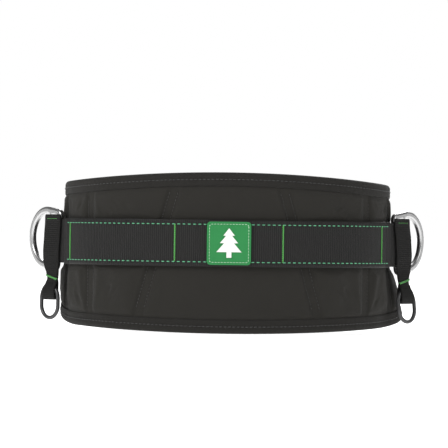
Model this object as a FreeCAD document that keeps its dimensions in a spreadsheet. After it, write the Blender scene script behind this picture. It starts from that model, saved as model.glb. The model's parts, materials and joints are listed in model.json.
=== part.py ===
import FreeCAD, Part
import Sketcher
import math
import os

# Tree climbing saddle, waist belt part. Millimetres. X runs to the wearer's right, Y to the
# wearer's front and Z up. The origin is in the middle of the waist opening, on the line through
# the widest points of the belt, at the height of the pad's lower edge.
#
# In plan the belt is a chain of tangent arcs: a wide back arc between two side arcs. Every layer
# of cloth or foam is an offset of that chain. Angles round a side arc start at the straight back
# direction (-Y), so 90 is the widest point and 180 is the front.

DIMENSIONS = {
    # plan of the pad
    "back_radius": 225,
    "side_radius": 111,
    "side_start_angle": 31,
    "pad_end_angle": 118,
    # outline of the pad, seen from behind and from the side
    "pad_height": 162.3,
    "top_edge_radius": 1500,
    "bottom_edge_radius": 2500,
    "hip_sweep_start": 62,
    "hip_top_radius": 600,
    "hip_bottom_radius": 230,
    "hip_top_level": 155,
    "hip_bottom_level": 4.5,
    "pad_corner": 24,
    # layers: distance of each face outside the pad's outer face
    "binding_outer": 1.3,
    "shell_outer": 0,
    "shell_inner": -1.2,
    "stiffener_outer": -1.4,
    "stiffener_inner": -2.4,
    "foam_outer": -2.6,
    "foam_inner": -10.6,
    "lining_outer": -10.8,
    "lining_inner": -13.6,
    "binding_inner": -14.9,
    "shell_inset": 1.6,
    "stiffener_inset": 22,
    "foam_inset": 17,
    "binding_gap": 0.1,
    "binding_width": 15.5,
    # webbing
    "webbing_level": 91,
    "webbing_width": 45,
    "webbing_inner": 0.15,
    "webbing_outer": 2.35,
    "tool_webbing_width": 47,
    "tool_webbing_inner": 2.5,
    "tool_webbing_outer": 4.3,
    "tool_webbing_end": 63,
    "main_webbing_end": 104,
    "bar_wrap_radius": 6.9,
    "rear_rise_angle": 47.5,
    "front_fall_angle": 112,
    "front_strap_inner": 1.5,
    "front_strap_outer": 3.7,
    "patch_side": 43.5,
    "patch_inner": 4.45,
    "patch_outer": 6.25,
    "patch_corner": 3.5,
    # D-ring
    "ring_bar_angle": 78,
    "ring_bar_offset": 6,
    "ring_direction": 55,
    "ring_tilt": 7.5,
    "ring_height": 64,
    "ring_depth": 57,
    "ring_thickness": 6,
    "ring_bar": 6,
    "ring_slot": 10.5,
    "ring_inner_bar": 5,
    "ring_section": 7,
    "ring_corner": 7,
    "ring_window_corner": 2,
    "ring_edge_fillet": 2.2,
    # accessory strap and ring
    "strap_direction": 48,
    "tab_width": 25,
    "tab_cloth": 1.8,
    "tab_clearance": 8.7,
    "tab_start": -10,
    "tab_bottom": 66.5,
    "tab_top": 118,
    "tab_corner": 3,
    "loop_pivot_level": 66,
    "loop_top_gap": 0.8,
    "loop_neck": 13,
    "loop_eye_inner": 2.7,
    "loop_eye_height": 18.5,
    "loop_width": 21.5,
    "loop_lean_left": 0,
    "loop_lean_right": 6,
    "small_ring_width": 30,
    "small_ring_height": 37,
    "small_ring_section": 4,
    "small_ring_drop": 37.7,
    # front closure
    "buckle_plane": 117,
    "housing_start": -50,
    "housing_mouth": 14,
    "housing_height": 64,
    "housing_corner": 8,
    "rail_corner": 2,
    "bore_clearance": 0.03,
    "base_inner": 6.2,
    "base_thickness": 2.2,
    "base_rail_top": 1.7,
    "rail_width": 6.6,
    "cover_inner": 1.8,
    "cover_thickness": 3,
    "cover_start": -37,
    "strap_pin_place": -44,
    "strap_pin_radius": 3.5,
    "strap_pin_recess": 0.5,
    "eye_inner_radius": 4.1,
    "eye_outer_radius": 6.3,
    "button_place": -9,
    "button_spread": 12.5,
    "button_radius": 6,
    "button_hole_radius": 6.05,
    "flange_radius": 7.2,
    "flange_thickness": 1.3,
    "flange_bottom": 1.9,
    "counterbore_radius": 7.3,
    "counterbore_depth": 1.6,
    "button_top": 7,
    "button_edge_fillet": 1,
    "window_radius": 8,
    "tongue_thickness": 3,
    "tongue_tip": -25,
    "tongue_height": 50,
    "tongue_chamfer": 5,
    "frame_start": 16,
    "frame_end": 52,
    "frame_height": 64,
    "frame_corner": 6,
    "frame_window_start": 23,
    "frame_window_end": 45,
    "frame_window_height": 50,
    "cheek_margin": 0.5,
    "cheek_wall": 1,
    "bar_radius": 3,
    "bar_height": 58,
    "bar_slot_start": 29,
    "bar_slot_travel": 4,
    "bar_slot_clearance": 0.06,
    "bar_end_clearance": 0.3,
    "spring_thickness": 0.8,
    "spring_width": 10,
    "spring_foot_start": -34,
    "spring_foot_end": -27,
    "spring_end": -2,
    "spring_lift": 1.2,
    "catch_start": -14.5,
    "catch_end": -3.5,
    "catch_top": 1.2,
    "catch_bevel": 1,
    "spring_foot_gap": 0.05,
    "rivet_radius": 1.6,
    "rivet_head_radius": 3,
    "rivet_head": 0.9,
    "rivet_inset": 3.3,
    "rivet_place_a": -31,
    "rivet_place_b": 8,
    # keeper and the strap's tail
    "tail_gap": 0.4,
    "tail_bend_place": 12,
    "strap_butt_gap": 1,
    "tail_angle": 138,
    "keeper_angle": 149,
    "keeper_length": 14,
    "keeper_thickness": 2.2,
    "keeper_clearance": 0.5,
    "keeper_edge_fillet": 0.8,
}

DEGREES_PER_RADIAN = math.degrees(1)
NEARLY_ZERO = 1e-9
LEAST_CUT = 0.01

document = FreeCAD.newDocument("TreeClimbingSaddle")
sheet = document.addObject("Spreadsheet::Sheet", "Dimensions")
for row, (alias, number) in enumerate(DIMENSIONS.items(), start=1):
    sheet.set(f"A{row}", alias.replace("_", " "))
    sheet.set(f"B{row}", str(number))
    sheet.setAlias(f"B{row}", alias)
document.recompute()


class Size:
    """A number together with the spreadsheet formula that it comes from."""

    def __init__(self, value, formula):
        self.value = value
        self.formula = formula

    def combine(self, other, sign, value, reverse=False):
        other_formula = other.formula if isinstance(other, Size) else repr(other)
        pair = (other_formula, self.formula) if reverse else (self.formula, other_formula)
        return Size(value, f"({pair[0]} {sign} {pair[1]})")

    def __add__(self, other):
        return self.combine(other, "+", self.value + number_of(other))

    def __radd__(self, other):
        return self.combine(other, "+", number_of(other) + self.value, reverse=True)

    def __sub__(self, other):
        return self.combine(other, "-", self.value - number_of(other))

    def __rsub__(self, other):
        return self.combine(other, "-", number_of(other) - self.value, reverse=True)

    def __mul__(self, other):
        return self.combine(other, "*", self.value * number_of(other))

    def __rmul__(self, other):
        return self.combine(other, "*", number_of(other) * self.value, reverse=True)

    def __truediv__(self, other):
        return self.combine(other, "/", self.value / number_of(other))

    def __neg__(self):
        return Size(-self.value, f"(0 - {self.formula})")


def number_of(size):
    return size.value if isinstance(size, Size) else size


def sine(angle):
    return Size(math.sin(math.radians(angle.value)), f"sin({angle.formula})")


def cosine(angle):
    return Size(math.cos(math.radians(angle.value)), f"cos({angle.formula})")


def arc_cosine(ratio):
    return Size(math.degrees(math.acos(ratio.value)), f"acos({ratio.formula}) / 1 deg")


def root(size):
    return Size(math.sqrt(size.value), f"sqrt({size.formula})")


def dimension(alias):
    return Size(float(DIMENSIONS[alias]), f"Dimensions.{alias}")


def bind(thing, path, size):
    """Set a property and tie it to the spreadsheet."""
    thing.setExpression(path, size.formula)


# ---------------------------------------------------------------- sketch helpers

def new_body(label):
    body = document.addObject("PartDesign::Body", label)
    body.Label = label
    return body


def new_sketch(body, name, role):
    sketch = body.newObject("Sketcher::SketchObject", name)
    plane = next(item for item in body.Origin.OriginFeatures if item.Role == role)
    sketch.AttachmentSupport = [(plane, "")]
    sketch.MapMode = "FlatFace"
    return sketch


def pin_point(sketch, element, end, across, up):
    """Hold one point of a sketch at two spreadsheet sizes, measured from the origin."""
    for kind, size, axis in (("DistanceX", across, -2), ("DistanceY", up, -1)):
        if abs(number_of(size)) < NEARLY_ZERO:
            sketch.addConstraint(Sketcher.Constraint("PointOnObject", element, end, axis))
            continue
        place = sketch.addConstraint(
            Sketcher.Constraint(kind, -1, 1, element, end, number_of(size)))
        if isinstance(size, Size):
            bind(sketch, f"Constraints[{place}]", size)


def bend_centre(start, finish, radius, turn):
    """Centre of the arc from start to finish. turn is 1 anticlockwise and -1 clockwise."""
    middle = (start + finish) * 0.5
    chord = finish - start
    across = FreeCAD.Vector(-chord.y, chord.x, 0).normalize()
    height = math.sqrt(max(radius ** 2 - (chord.Length / 2) ** 2, 0))
    return middle + across * (height * turn)


def draw_outline(sketch, corners):
    """Draw a closed outline. Each corner is (across, up) or (across, up, radius, turn), where the
    radius and turn bend the stretch that starts at that corner."""
    first = sketch.GeometryCount
    places = [FreeCAD.Vector(number_of(c[0]), number_of(c[1]), 0) for c in corners]
    for index, corner in enumerate(corners):
        start = places[index]
        finish = places[(index + 1) % len(corners)]
        if len(corner) == 2:
            sketch.addGeometry(Part.LineSegment(start, finish))
            continue
        radius, turn = corner[2], corner[3]
        centre = bend_centre(start, finish, number_of(radius), turn)
        from_angle = math.atan2(start.y - centre.y, start.x - centre.x)
        to_angle = math.atan2(finish.y - centre.y, finish.x - centre.x)
        if turn < 0:
            from_angle, to_angle = to_angle, from_angle
        circle = Part.Circle(centre, FreeCAD.Vector(0, 0, 1), number_of(radius))
        sketch.addGeometry(Part.ArcOfCircle(circle, from_angle, to_angle))
    for index, corner in enumerate(corners):
        following = (index + 1) % len(corners)
        end = 1 if len(corner) == 4 and corner[3] < 0 else 2
        begin = 2 if len(corners[following]) == 4 and corners[following][3] < 0 else 1
        sketch.addConstraint(
            Sketcher.Constraint("Coincident", first + index, end, first + following, begin))
    for index, corner in enumerate(corners):
        begin = 2 if len(corner) == 4 and corner[3] < 0 else 1
        pin_point(sketch, first + index, begin, corner[0], corner[1])
        if len(corner) == 4:
            place = sketch.addConstraint(
                Sketcher.Constraint("Radius", first + index, number_of(corner[2])))
            bind(sketch, f"Constraints[{place}]", corner[2])


def draw_circle(sketch, across, up, radius):
    centre = FreeCAD.Vector(number_of(across), number_of(up), 0)
    circle = Part.Circle(centre, FreeCAD.Vector(0, 0, 1), number_of(radius))
    element = sketch.addGeometry(circle)
    pin_point(sketch, element, 3, across, up)
    place = sketch.addConstraint(Sketcher.Constraint("Radius", element, number_of(radius)))
    bind(sketch, f"Constraints[{place}]", radius)


def rounded_box(left, right, low, high, radius):
    """Corners of a rectangle with rounded corners, for draw_outline."""
    return [
        (left + radius, low),
        (right - radius, low, radius, 1),
        (right, low + radius),
        (right, high - radius, radius, 1),
        (right - radius, high),
        (left + radius, high, radius, 1),
        (left, high - radius),
        (left, low + radius, radius, 1),
    ]


def box_outline(left, right, low, high):
    return [(left, low), (right, low), (right, high), (left, high)]


def pad_sketch(body, sketch, length, name="Pad", midplane=False, reverse=False):
    feature = body.newObject("PartDesign::Pad", name)
    feature.Profile = sketch
    bind(feature, "Length", length)
    feature.Midplane = midplane
    feature.Reversed = reverse
    return feature


def cut_sketch(body, sketch, name, length=None, midplane=True):
    """Pocket a sketch and make sure that it removed something."""
    document.recompute()
    before = body.Shape.Volume
    pocket = body.newObject("PartDesign::Pocket", name)
    pocket.Profile = sketch
    pocket.Midplane = midplane
    if length is None:
        pocket.Type = "ThroughAll"
    else:
        pocket.Type = "Length"
        bind(pocket, "Length", length)
    document.recompute()
    if body.Shape.Volume > before - LEAST_CUT:
        raise ValueError(f"{name} of {body.Label} cuts nothing")
    return pocket


def round_edges(body, feature, radius, chosen):
    """Fillet the edges of the body that the test picks out."""
    document.recompute()
    names = [f"Edge{i}" for i, edge in enumerate(feature.Shape.Edges, start=1) if chosen(edge)]
    fillet = body.newObject("PartDesign::Fillet", "Rounding")
    fillet.Base = (feature, names)
    bind(fillet, "Radius", radius)
    return fillet


# ---------------------------------------------------------------- plan of the belt

side_radius = dimension("side_radius")
side_start = dimension("side_start_angle")
side_centre = (dimension("back_radius") - side_radius) * sine(side_start)
webbing_level = dimension("webbing_level")
# cutting outlines run past the belt on every side
BEYOND = 260
BEHIND = -240


def side_point(offset, angle):
    """A point of the right side arc, offset outwards, at an angle from the straight back."""
    radius = side_radius + offset
    return side_centre + radius * sine(angle), 0 - radius * cosine(angle)


def crescent(inner, outer, end_angle):
    """Plan outline between two offsets of the belt's curve, from end to end round the back."""
    corners = []
    for offset, turn in ((outer, 1), (inner, -1)):
        end_x, end_y = side_point(offset, end_angle)
        join_x, join_y = side_point(offset, side_start)
        widest = side_radius + offset
        back = dimension("back_radius") + offset
        if turn > 0:
            corners += [(-end_x, end_y, widest, 1), (-join_x, join_y, back, 1),
                        (join_x, join_y, widest, 1), (end_x, end_y)]
        else:
            corners += [(end_x, end_y, widest, -1), (join_x, join_y, back, -1),
                        (-join_x, join_y, widest, -1), (-end_x, end_y)]
    return corners


def pad_end_reach():
    """How far forward of the widest line the pad's ends come."""
    return 0 - side_radius * cosine(dimension("pad_end_angle"))


def end_angle_with_inset(inset):
    """The pad's end angle, pulled back so that the end face is inset by a distance."""
    return dimension("pad_end_angle") - inset / side_radius * DEGREES_PER_RADIAN


def trim_to_outline(body, inset):
    """Cut a layer down to the pad's outline as seen from behind and from the side."""
    reach = dimension("back_radius")
    top_radius = dimension("top_edge_radius")
    bottom_radius = dimension("bottom_edge_radius")
    top_drop = top_radius - root(top_radius * top_radius - reach * reach)
    top_end = dimension("pad_height") - inset - top_drop
    bottom_end = inset + bottom_radius - root(bottom_radius * bottom_radius - reach * reach)
    rear = new_sketch(body, "RearView", "XZ_Plane")
    draw_outline(rear, box_outline(-BEYOND, BEYOND, -2 * BEYOND, 2 * BEYOND))
    draw_outline(rear, [(-reach, bottom_end, bottom_radius, 1), (reach, bottom_end),
                        (reach, top_end, top_radius, 1), (-reach, top_end)])
    cut_sketch(body, rear, "RearTrim")

    # the hip end: the top edge sinks and the bottom edge sweeps up towards a rounded end
    start = 0 - dimension("hip_sweep_start")
    finish = pad_end_reach() - inset
    corner = dimension("pad_corner") - inset
    low_run, low_rise, low_turn = hip_curve(start, finish, dimension("hip_bottom_radius"), corner)
    top_run, top_fall, top_turn = hip_curve(start, finish, dimension("hip_top_radius"), corner)
    bottom_start = dimension("hip_bottom_level") + inset
    top_start = dimension("hip_top_level") - inset
    side = new_sketch(body, "SideView", "YZ_Plane")
    draw_outline(side, box_outline(-BEYOND, BEYOND, -2 * BEYOND, 2 * BEYOND))
    draw_outline(side, [
        (start, -BEYOND),
        (start, bottom_start, dimension("hip_bottom_radius"), 1),
        (start + low_run, bottom_start + low_rise, corner, 1),
        (finish, bottom_start + low_rise + low_turn),
        (finish, top_start - top_fall - top_turn, corner, 1),
        (start + top_run, top_start - top_fall, dimension("hip_top_radius"), 1),
        (start, top_start),
        (start, BEYOND),
        (BEHIND, BEYOND),
        (BEHIND, -BEYOND),
    ])
    cut_sketch(body, side, "SideTrim")


def hip_curve(start, finish, radius, corner):
    """A level arc that bends away and runs into a corner whose end is upright at finish.
    Returns the arc's run and rise, and the corner's own rise."""
    run = (finish - start - corner) / (1 - corner / radius)
    level = root(radius * radius - run * run)
    return run, radius - level, corner * level / radius


def layer(label, inner, outer, inset):
    """One layer of the pad: the belt's curve between two offsets, trimmed to the outline."""
    body = new_body(label)
    plan = new_sketch(body, "Plan", "XY_Plane")
    draw_outline(plan, crescent(inner, outer, end_angle_with_inset(inset)))
    pad_sketch(body, plan, dimension("pad_height"))
    trim_to_outline(body, inset)
    return body


def level_strip(label, corners, width):
    """A strip of webbing on edge: a plan outline padded to both sides of the webbing's level."""
    body = new_body(label)
    plan = new_sketch(body, "Plan", "XY_Plane")
    draw_outline(plan, corners)
    pad_sketch(body, plan, width, midplane=True)
    return body


def raise_to_webbing(body):
    bind(body, "Placement.Base.z", webbing_level)
    return body


# ---------------------------------------------------------------- the padded belt

def make_pad():
    shell_inset = dimension("shell_inset")
    shell = layer("pad_outer_shell", dimension("shell_inner"), dimension("shell_outer"), shell_inset)
    stiffener = layer("pad_stiffener", dimension("stiffener_inner"), dimension("stiffener_outer"),
                      dimension("stiffener_inset"))
    foam = layer("pad_foam_core", dimension("foam_inner"), dimension("foam_outer"),
                 dimension("foam_inset"))
    lining = layer("pad_mesh_lining", dimension("lining_inner"), dimension("lining_outer"), shell_inset)
    return [shell, stiffener, foam, lining]


def make_binding():
    """Tape folded round the whole edge: an outer block less the pad inside it and the middle."""
    gap = dimension("binding_gap")
    nothing = gap - gap
    blank = layer("binding_blank", dimension("binding_inner"), dimension("binding_outer"), nothing)
    filling = layer("binding_filling", dimension("lining_inner") - gap, dimension("shell_outer") + gap,
                    dimension("shell_inset") - gap)
    window = layer("binding_window", dimension("binding_inner") - dimension("binding_width"),
                   dimension("binding_outer") + dimension("binding_width"), dimension("binding_width"))
    folded = document.addObject("Part::Cut", "FoldedTape")
    folded.Base = blank
    folded.Tool = filling
    binding = document.addObject("Part::Cut", "pad_edge_binding")
    binding.Base = folded
    binding.Tool = window
    binding.Label = "pad_edge_binding"
    return binding


def webbing_face(offset, turn):
    """One face of the main webbing at the right hip. It lies on the pad, rises straight to the
    D-ring's bar, wraps it, falls straight back to the pad and runs on to its end.
    Returns corners from the back to the end (turn 1) or from the end to the back (turn -1)."""
    wall = side_radius + offset
    bar_distance = side_radius + dimension("ring_bar_offset")
    middle = (dimension("webbing_inner") + dimension("webbing_outer")) / 2
    wrap = dimension("bar_wrap_radius") + offset - middle
    bar_x, bar_y = side_point(dimension("ring_bar_offset"), dimension("ring_bar_angle"))
    rise = dimension("rear_rise_angle")
    fall = dimension("front_fall_angle")
    rise_reach = bar_distance * cosine(dimension("ring_bar_angle") - rise) + wrap
    fall_reach = bar_distance * cosine(fall - dimension("ring_bar_angle")) + wrap
    join = side_point(offset, side_start)
    lift = side_point(offset, rise + arc_cosine(rise_reach / wall))
    wrap_start = (bar_x + wrap * sine(rise), bar_y - wrap * cosine(rise))
    wrap_end = (bar_x + wrap * sine(fall), bar_y - wrap * cosine(fall))
    land = side_point(offset, fall - arc_cosine(fall_reach / wall))
    end = side_point(offset, dimension("main_webbing_end"))
    if turn > 0:
        return [(*join, wall, 1), lift, (*wrap_start, wrap, 1), wrap_end, (*land, wall, 1), end]
    return [(*end, wall, -1), land, (*wrap_end, wrap, -1), wrap_start, (*lift, wall, -1), join]


def mirrored(corners):
    """The same stretch on the left side, walked the other way."""
    result = []
    for index in range(len(corners) - 1, -1, -1):
        bend = corners[index - 1][2:] if index > 0 else ()
        result.append((-corners[index][0], corners[index][1], *bend))
    return result


def make_main_webbing():
    outer = dimension("webbing_outer")
    inner = dimension("webbing_inner")
    back = dimension("back_radius")
    outer_right = webbing_face(outer, 1)
    inner_right = webbing_face(inner, -1)
    outer_left = mirrored(outer_right)
    inner_left = mirrored(inner_right)
    outer_left[-1] = (*outer_left[-1], back + outer, 1)
    inner_right[-1] = (*inner_right[-1], back + inner, -1)
    corners = outer_left + outer_right + inner_right + inner_left
    return raise_to_webbing(level_strip("main_webbing", corners, dimension("webbing_width")))


def make_tool_webbing():
    corners = crescent(dimension("tool_webbing_inner"), dimension("tool_webbing_outer"),
                       dimension("tool_webbing_end"))
    return raise_to_webbing(level_strip("tool_webbing", corners, dimension("tool_webbing_width")))


def make_patch():
    """A square of cloth on the middle of the back, curved with the webbing under it."""
    inner = dimension("back_radius") + dimension("patch_inner")
    outer = dimension("back_radius") + dimension("patch_outer")
    half = dimension("patch_side") / 2
    centre_y = (dimension("back_radius") - side_radius) * cosine(side_start)
    inner_y = centre_y - root(inner * inner - half * half)
    outer_y = centre_y - root(outer * outer - half * half)
    corners = [(-half, outer_y, outer, 1), (half, outer_y), (half, inner_y, inner, -1),
               (-half, inner_y)]
    patch = level_strip("badge_patch", corners, dimension("patch_side"))
    corner = dimension("patch_corner")
    extrusion = patch.Tip
    round_edges(patch, extrusion, corner,
                lambda edge: isinstance(edge.Curve, Part.Line) and abs(edge.tangentAt(0).y) > 0.9)
    return raise_to_webbing(patch)


# ---------------------------------------------------------------- D-rings and hanging rings

def ring_placement(body, side, direction, lean=False):
    """Put a piece drawn about the D-ring's bar at the left (-1) or right (1) hip. Drawn across X,
    it then points outwards and forwards."""
    angle = direction.value
    base_x, base_y = side_point(dimension("ring_bar_offset"), dimension("ring_bar_angle"))
    turn = FreeCAD.Rotation(FreeCAD.Vector(0, 0, 1), angle if side > 0 else 180 - angle)
    if lean:
        tilt = FreeCAD.Rotation(FreeCAD.Vector(0, 1, 0), -dimension("ring_tilt").value)
        turn = turn.multiply(tilt)
    body.Placement = FreeCAD.Placement(FreeCAD.Vector(side * base_x.value, base_y.value, 0), turn)
    bind(body, "Placement.Base.x", side * base_x)
    bind(body, "Placement.Base.y", base_y)
    return body


def make_d_ring(side):
    """A slotted D: the webbing runs through the slot, a lanyard clips into the eye."""
    body = new_body("d_ring_right" if side > 0 else "d_ring_left")
    half = dimension("ring_height") / 2
    left = 0 - dimension("ring_bar") / 2
    far = left + dimension("ring_depth")
    bend = far - half
    corner = dimension("ring_corner")
    section = dimension("ring_section")
    window = dimension("ring_window_corner")
    slot_end = left + dimension("ring_bar") + dimension("ring_slot")
    eye_start = slot_end + dimension("ring_inner_bar")
    inside = half - section
    face = new_sketch(body, "Face", "XZ_Plane")
    draw_outline(face, [
        (left + corner, 0 - half),
        (bend, 0 - half, half, 1),
        (far, half - half, half, 1),
        (bend, half),
        (left + corner, half, corner, 1),
        (left, half - corner),
        (left, corner - half, corner, 1),
    ])
    draw_outline(face, rounded_box(left + dimension("ring_bar"), slot_end, 0 - inside, inside, window))
    draw_outline(face, [
        (eye_start + window, 0 - inside),
        (bend, 0 - inside, inside, 1),
        (bend + inside, half - half, inside, 1),
        (bend, inside),
        (eye_start + window, inside, window, 1),
        (eye_start, inside - window),
        (eye_start, window - inside, window, 1),
    ])
    plate = pad_sketch(body, face, dimension("ring_thickness"), midplane=True)
    thickness = dimension("ring_thickness").value
    round_edges(body, plate, dimension("ring_edge_fillet"),
                lambda edge: abs(edge.BoundBox.YLength) < thickness / 2)
    ring_placement(body, side, dimension("ring_direction"), lean=True)
    bind(body, "Placement.Base.z", webbing_level)
    return body


def make_tab(side):
    """Upper part of the hanging strap, sewn flat on the outside of the webbing's hump."""
    body = new_body("accessory_tab_right" if side > 0 else "accessory_tab_left")
    clearance = dimension("tab_clearance")
    start = dimension("tab_start")
    face = new_sketch(body, "Face", "XZ_Plane")
    draw_outline(face, rounded_box(start, start + dimension("tab_width"), dimension("tab_bottom"),
                                   dimension("tab_top"), dimension("tab_corner")))
    pad_sketch(body, face, dimension("tab_cloth"), reverse=side < 0)
    ring_placement(body, side, dimension("strap_direction"))
    outward = FreeCAD.Vector(0, -1 if side > 0 else 1, 0)
    shift_outwards(body, outward, clearance)
    return body


def shift_outwards(body, outward, distance):
    """Move a placed piece along its own outward direction."""
    step = body.Placement.Rotation.multVec(outward)
    start = body.Placement.Base
    body.setExpression("Placement.Base.x", None)
    body.setExpression("Placement.Base.y", None)
    body.Placement.Base = start + step * distance.value


def hang_from_tab(body, side, drop):
    """Hang a piece, drawn about its own pivot, from the bottom of the tab with the strap's lean."""
    start = dimension("tab_start") + dimension("tab_width") / 2
    ring_placement(body, side, dimension("strap_direction"))
    rotation = body.Placement.Rotation
    strap_lean = dimension("loop_lean_right" if side > 0 else "loop_lean_left").value
    outward_sign = -1 if side > 0 else 1
    middle = dimension("tab_clearance") + dimension("tab_cloth") / 2
    pivot = body.Placement.Base + rotation.multVec(
        FreeCAD.Vector(start.value, outward_sign * middle.value, 0))
    pivot.z = dimension("loop_pivot_level").value
    lean = FreeCAD.Rotation(FreeCAD.Vector(1, 0, 0), outward_sign * strap_lean)
    turned = rotation.multiply(lean)
    body.setExpression("Placement.Base.x", None)
    body.setExpression("Placement.Base.y", None)
    body.Placement = FreeCAD.Placement(pivot + turned.multVec(FreeCAD.Vector(0, 0, -drop.value)), turned)
    return body


def make_loop(side):
    """Lower part of the hanging strap: two plies, sewn at the neck, opening into an eye."""
    body = new_body("accessory_loop_right" if side > 0 else "accessory_loop_left")
    cloth = dimension("tab_cloth")
    inner = dimension("loop_eye_inner")
    outer = inner + cloth
    top = 0 - dimension("loop_top_gap")
    neck = 0 - dimension("loop_neck")
    crown = neck - outer
    foot = neck - cloth - dimension("loop_eye_height") + inner
    profile = new_sketch(body, "Profile", "YZ_Plane")
    draw_outline(profile, [
        (0 - cloth, top),
        (0 - cloth, neck),
        (0 - outer, crown),
        (0 - outer, foot, outer, 1),
        (outer - outer, foot - outer, outer, 1),
        (outer, foot),
        (outer, crown),
        (cloth, neck),
        (cloth, top),
    ])
    draw_outline(profile, [
        (0 - inner, crown),
        (0 - inner, foot, inner, 1),
        (inner - inner, foot - inner, inner, 1),
        (inner, foot),
        (inner, crown, inner, 1),
        (inner - inner, crown + inner, inner, 1),
    ])
    pad_sketch(body, profile, dimension("loop_width"), midplane=True)
    return hang_from_tab(body, side, cloth - cloth)


def make_small_ring(side):
    """Oval ring swept round a closed path."""
    body = new_body("accessory_ring_right" if side > 0 else "accessory_ring_left")
    section = dimension("small_ring_section")
    bend = (dimension("small_ring_width") - section) / 2
    straight = (dimension("small_ring_height") - section) / 2 - bend
    path = new_sketch(body, "Path", "XZ_Plane")
    draw_outline(path, [
        (bend, 0 - straight),
        (bend, straight, bend, 1),
        (bend - bend, straight + bend, bend, 1),
        (0 - bend, straight),
        (0 - bend, 0 - straight, bend, 1),
        (bend - bend, 0 - straight - bend, bend, 1),
    ])
    profile = new_sketch(body, "Section", "XY_Plane")
    draw_circle(profile, bend, bend - bend, section / 2)
    pipe = body.newObject("PartDesign::AdditivePipe", "Rod")
    pipe.Profile = profile
    pipe.Spine = path
    return hang_from_tab(body, side, dimension("small_ring_drop"))


# ---------------------------------------------------------------- front closure

buckle_plane = dimension("buckle_plane")


def front_run(inner, outer, start_angle, end_x, side):
    """Plan outline of a strap from a side arc round to the front and straight in to end_x."""
    low = side_point(inner, start_angle)
    high = side_point(outer, start_angle)
    front_inner = side_radius + inner
    front_outer = side_radius + outer
    if side > 0:
        return [low, (*high, front_outer, 1), (side_centre, front_outer), (end_x, front_outer),
                (end_x, front_inner), (side_centre, front_inner, front_inner, -1)]
    return [(-low[0], low[1], front_inner, -1), (-side_centre, front_inner), (end_x, front_inner),
            (end_x, front_outer), (-side_centre, front_outer, front_outer, 1), (-high[0], high[1])]


def add_eye(body, place, across):
    """Give a strap an eye round an upright pin or bar in the buckle's plane."""
    disc = new_sketch(body, "EyeDisc", "XY_Plane")
    draw_circle(disc, place, across, dimension("eye_outer_radius"))
    pad_sketch(body, disc, dimension("webbing_width"), name="Eye", midplane=True)
    hole = new_sketch(body, "EyeHole", "XY_Plane")
    draw_circle(hole, place, across, dimension("eye_inner_radius"))
    cut_sketch(body, hole, "EyeBore")


def make_front_strap(side):
    """Half of the front belt, sewn or threaded round the pin or bar of the closure."""
    inner = dimension("front_strap_inner")
    outer = dimension("front_strap_outer")
    gap_angle = dimension("strap_butt_gap") / side_radius * DEGREES_PER_RADIAN
    start = dimension("main_webbing_end") + gap_angle
    if side > 0:
        place = dimension("bar_slot_start") + dimension("bar_radius")
        label = "front_strap_right"
    else:
        place = dimension("strap_pin_place")
        label = "front_strap_left"
    body = level_strip(label, front_run(inner, outer, start, place, side), dimension("webbing_width"))
    if side > 0:
        # the free end folds back over the bar and lies on the outside of the strap
        gap = dimension("tail_gap")
        tail_inner = outer + gap
        tail_outer = outer + gap + outer - inner
        tail = new_sketch(body, "Tail", "XY_Plane")
        low = side_point(tail_inner, dimension("tail_angle"))
        high = side_point(tail_outer, dimension("tail_angle"))
        eye_top = buckle_plane + dimension("eye_outer_radius")
        eye_low = buckle_plane + dimension("eye_inner_radius")
        frame_end = dimension("frame_end")
        bend = frame_end + dimension("tail_bend_place")
        outer_level = 0 - (side_radius + tail_outer) * cosine(tail_meeting(tail_outer))
        inner_level = 0 - (side_radius + tail_inner) * cosine(tail_meeting(tail_inner))
        draw_outline(tail, [
            low, (*high, side_radius + tail_outer, 1), (bend, outer_level),
            (frame_end, eye_top), (place, eye_top), (place, eye_low),
            (frame_end - dimension("cheek_wall"), eye_low),
            (bend, inner_level, side_radius + tail_inner, -1),
        ])
        pad_sketch(body, tail, dimension("webbing_width"), name="TailPly", midplane=True)
    document.recompute()
    add_eye(body, place, buckle_plane)
    return raise_to_webbing(body)


def tail_meeting(offset):
    """Angle at which the tail's curve is just past the end of the adjuster's frame."""
    beyond = dimension("frame_end") + dimension("tail_bend_place") - side_centre
    return 180 - (90 - arc_cosine(beyond / (side_radius + offset)))


def on_buckle(body):
    """Buckle pieces are drawn about the closure's middle plane, facing the wearer's front."""
    bind(body, "Placement.Base.y", buckle_plane)
    bind(body, "Placement.Base.z", webbing_level)
    return body


def front_plate(label, outline, low, thickness):
    """A plate across Y. XZ sketches face -Y, so the plate starts at low and grows to +Y."""
    body = new_body(label)
    face = new_sketch(body, "Face", "XZ_Plane")
    bind(face, "AttachmentOffset.Base.z", 0 - low)
    for loop in outline:
        draw_outline(face, loop)
    pad_sketch(body, face, thickness, reverse=True)
    return body


def face_at(body, name, level):
    """A sketch plane across Y at a level in front of the closure's middle plane."""
    sketch = new_sketch(body, name, "XZ_Plane")
    bind(sketch, "AttachmentOffset.Base.z", 0 - level)
    return sketch


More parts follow.
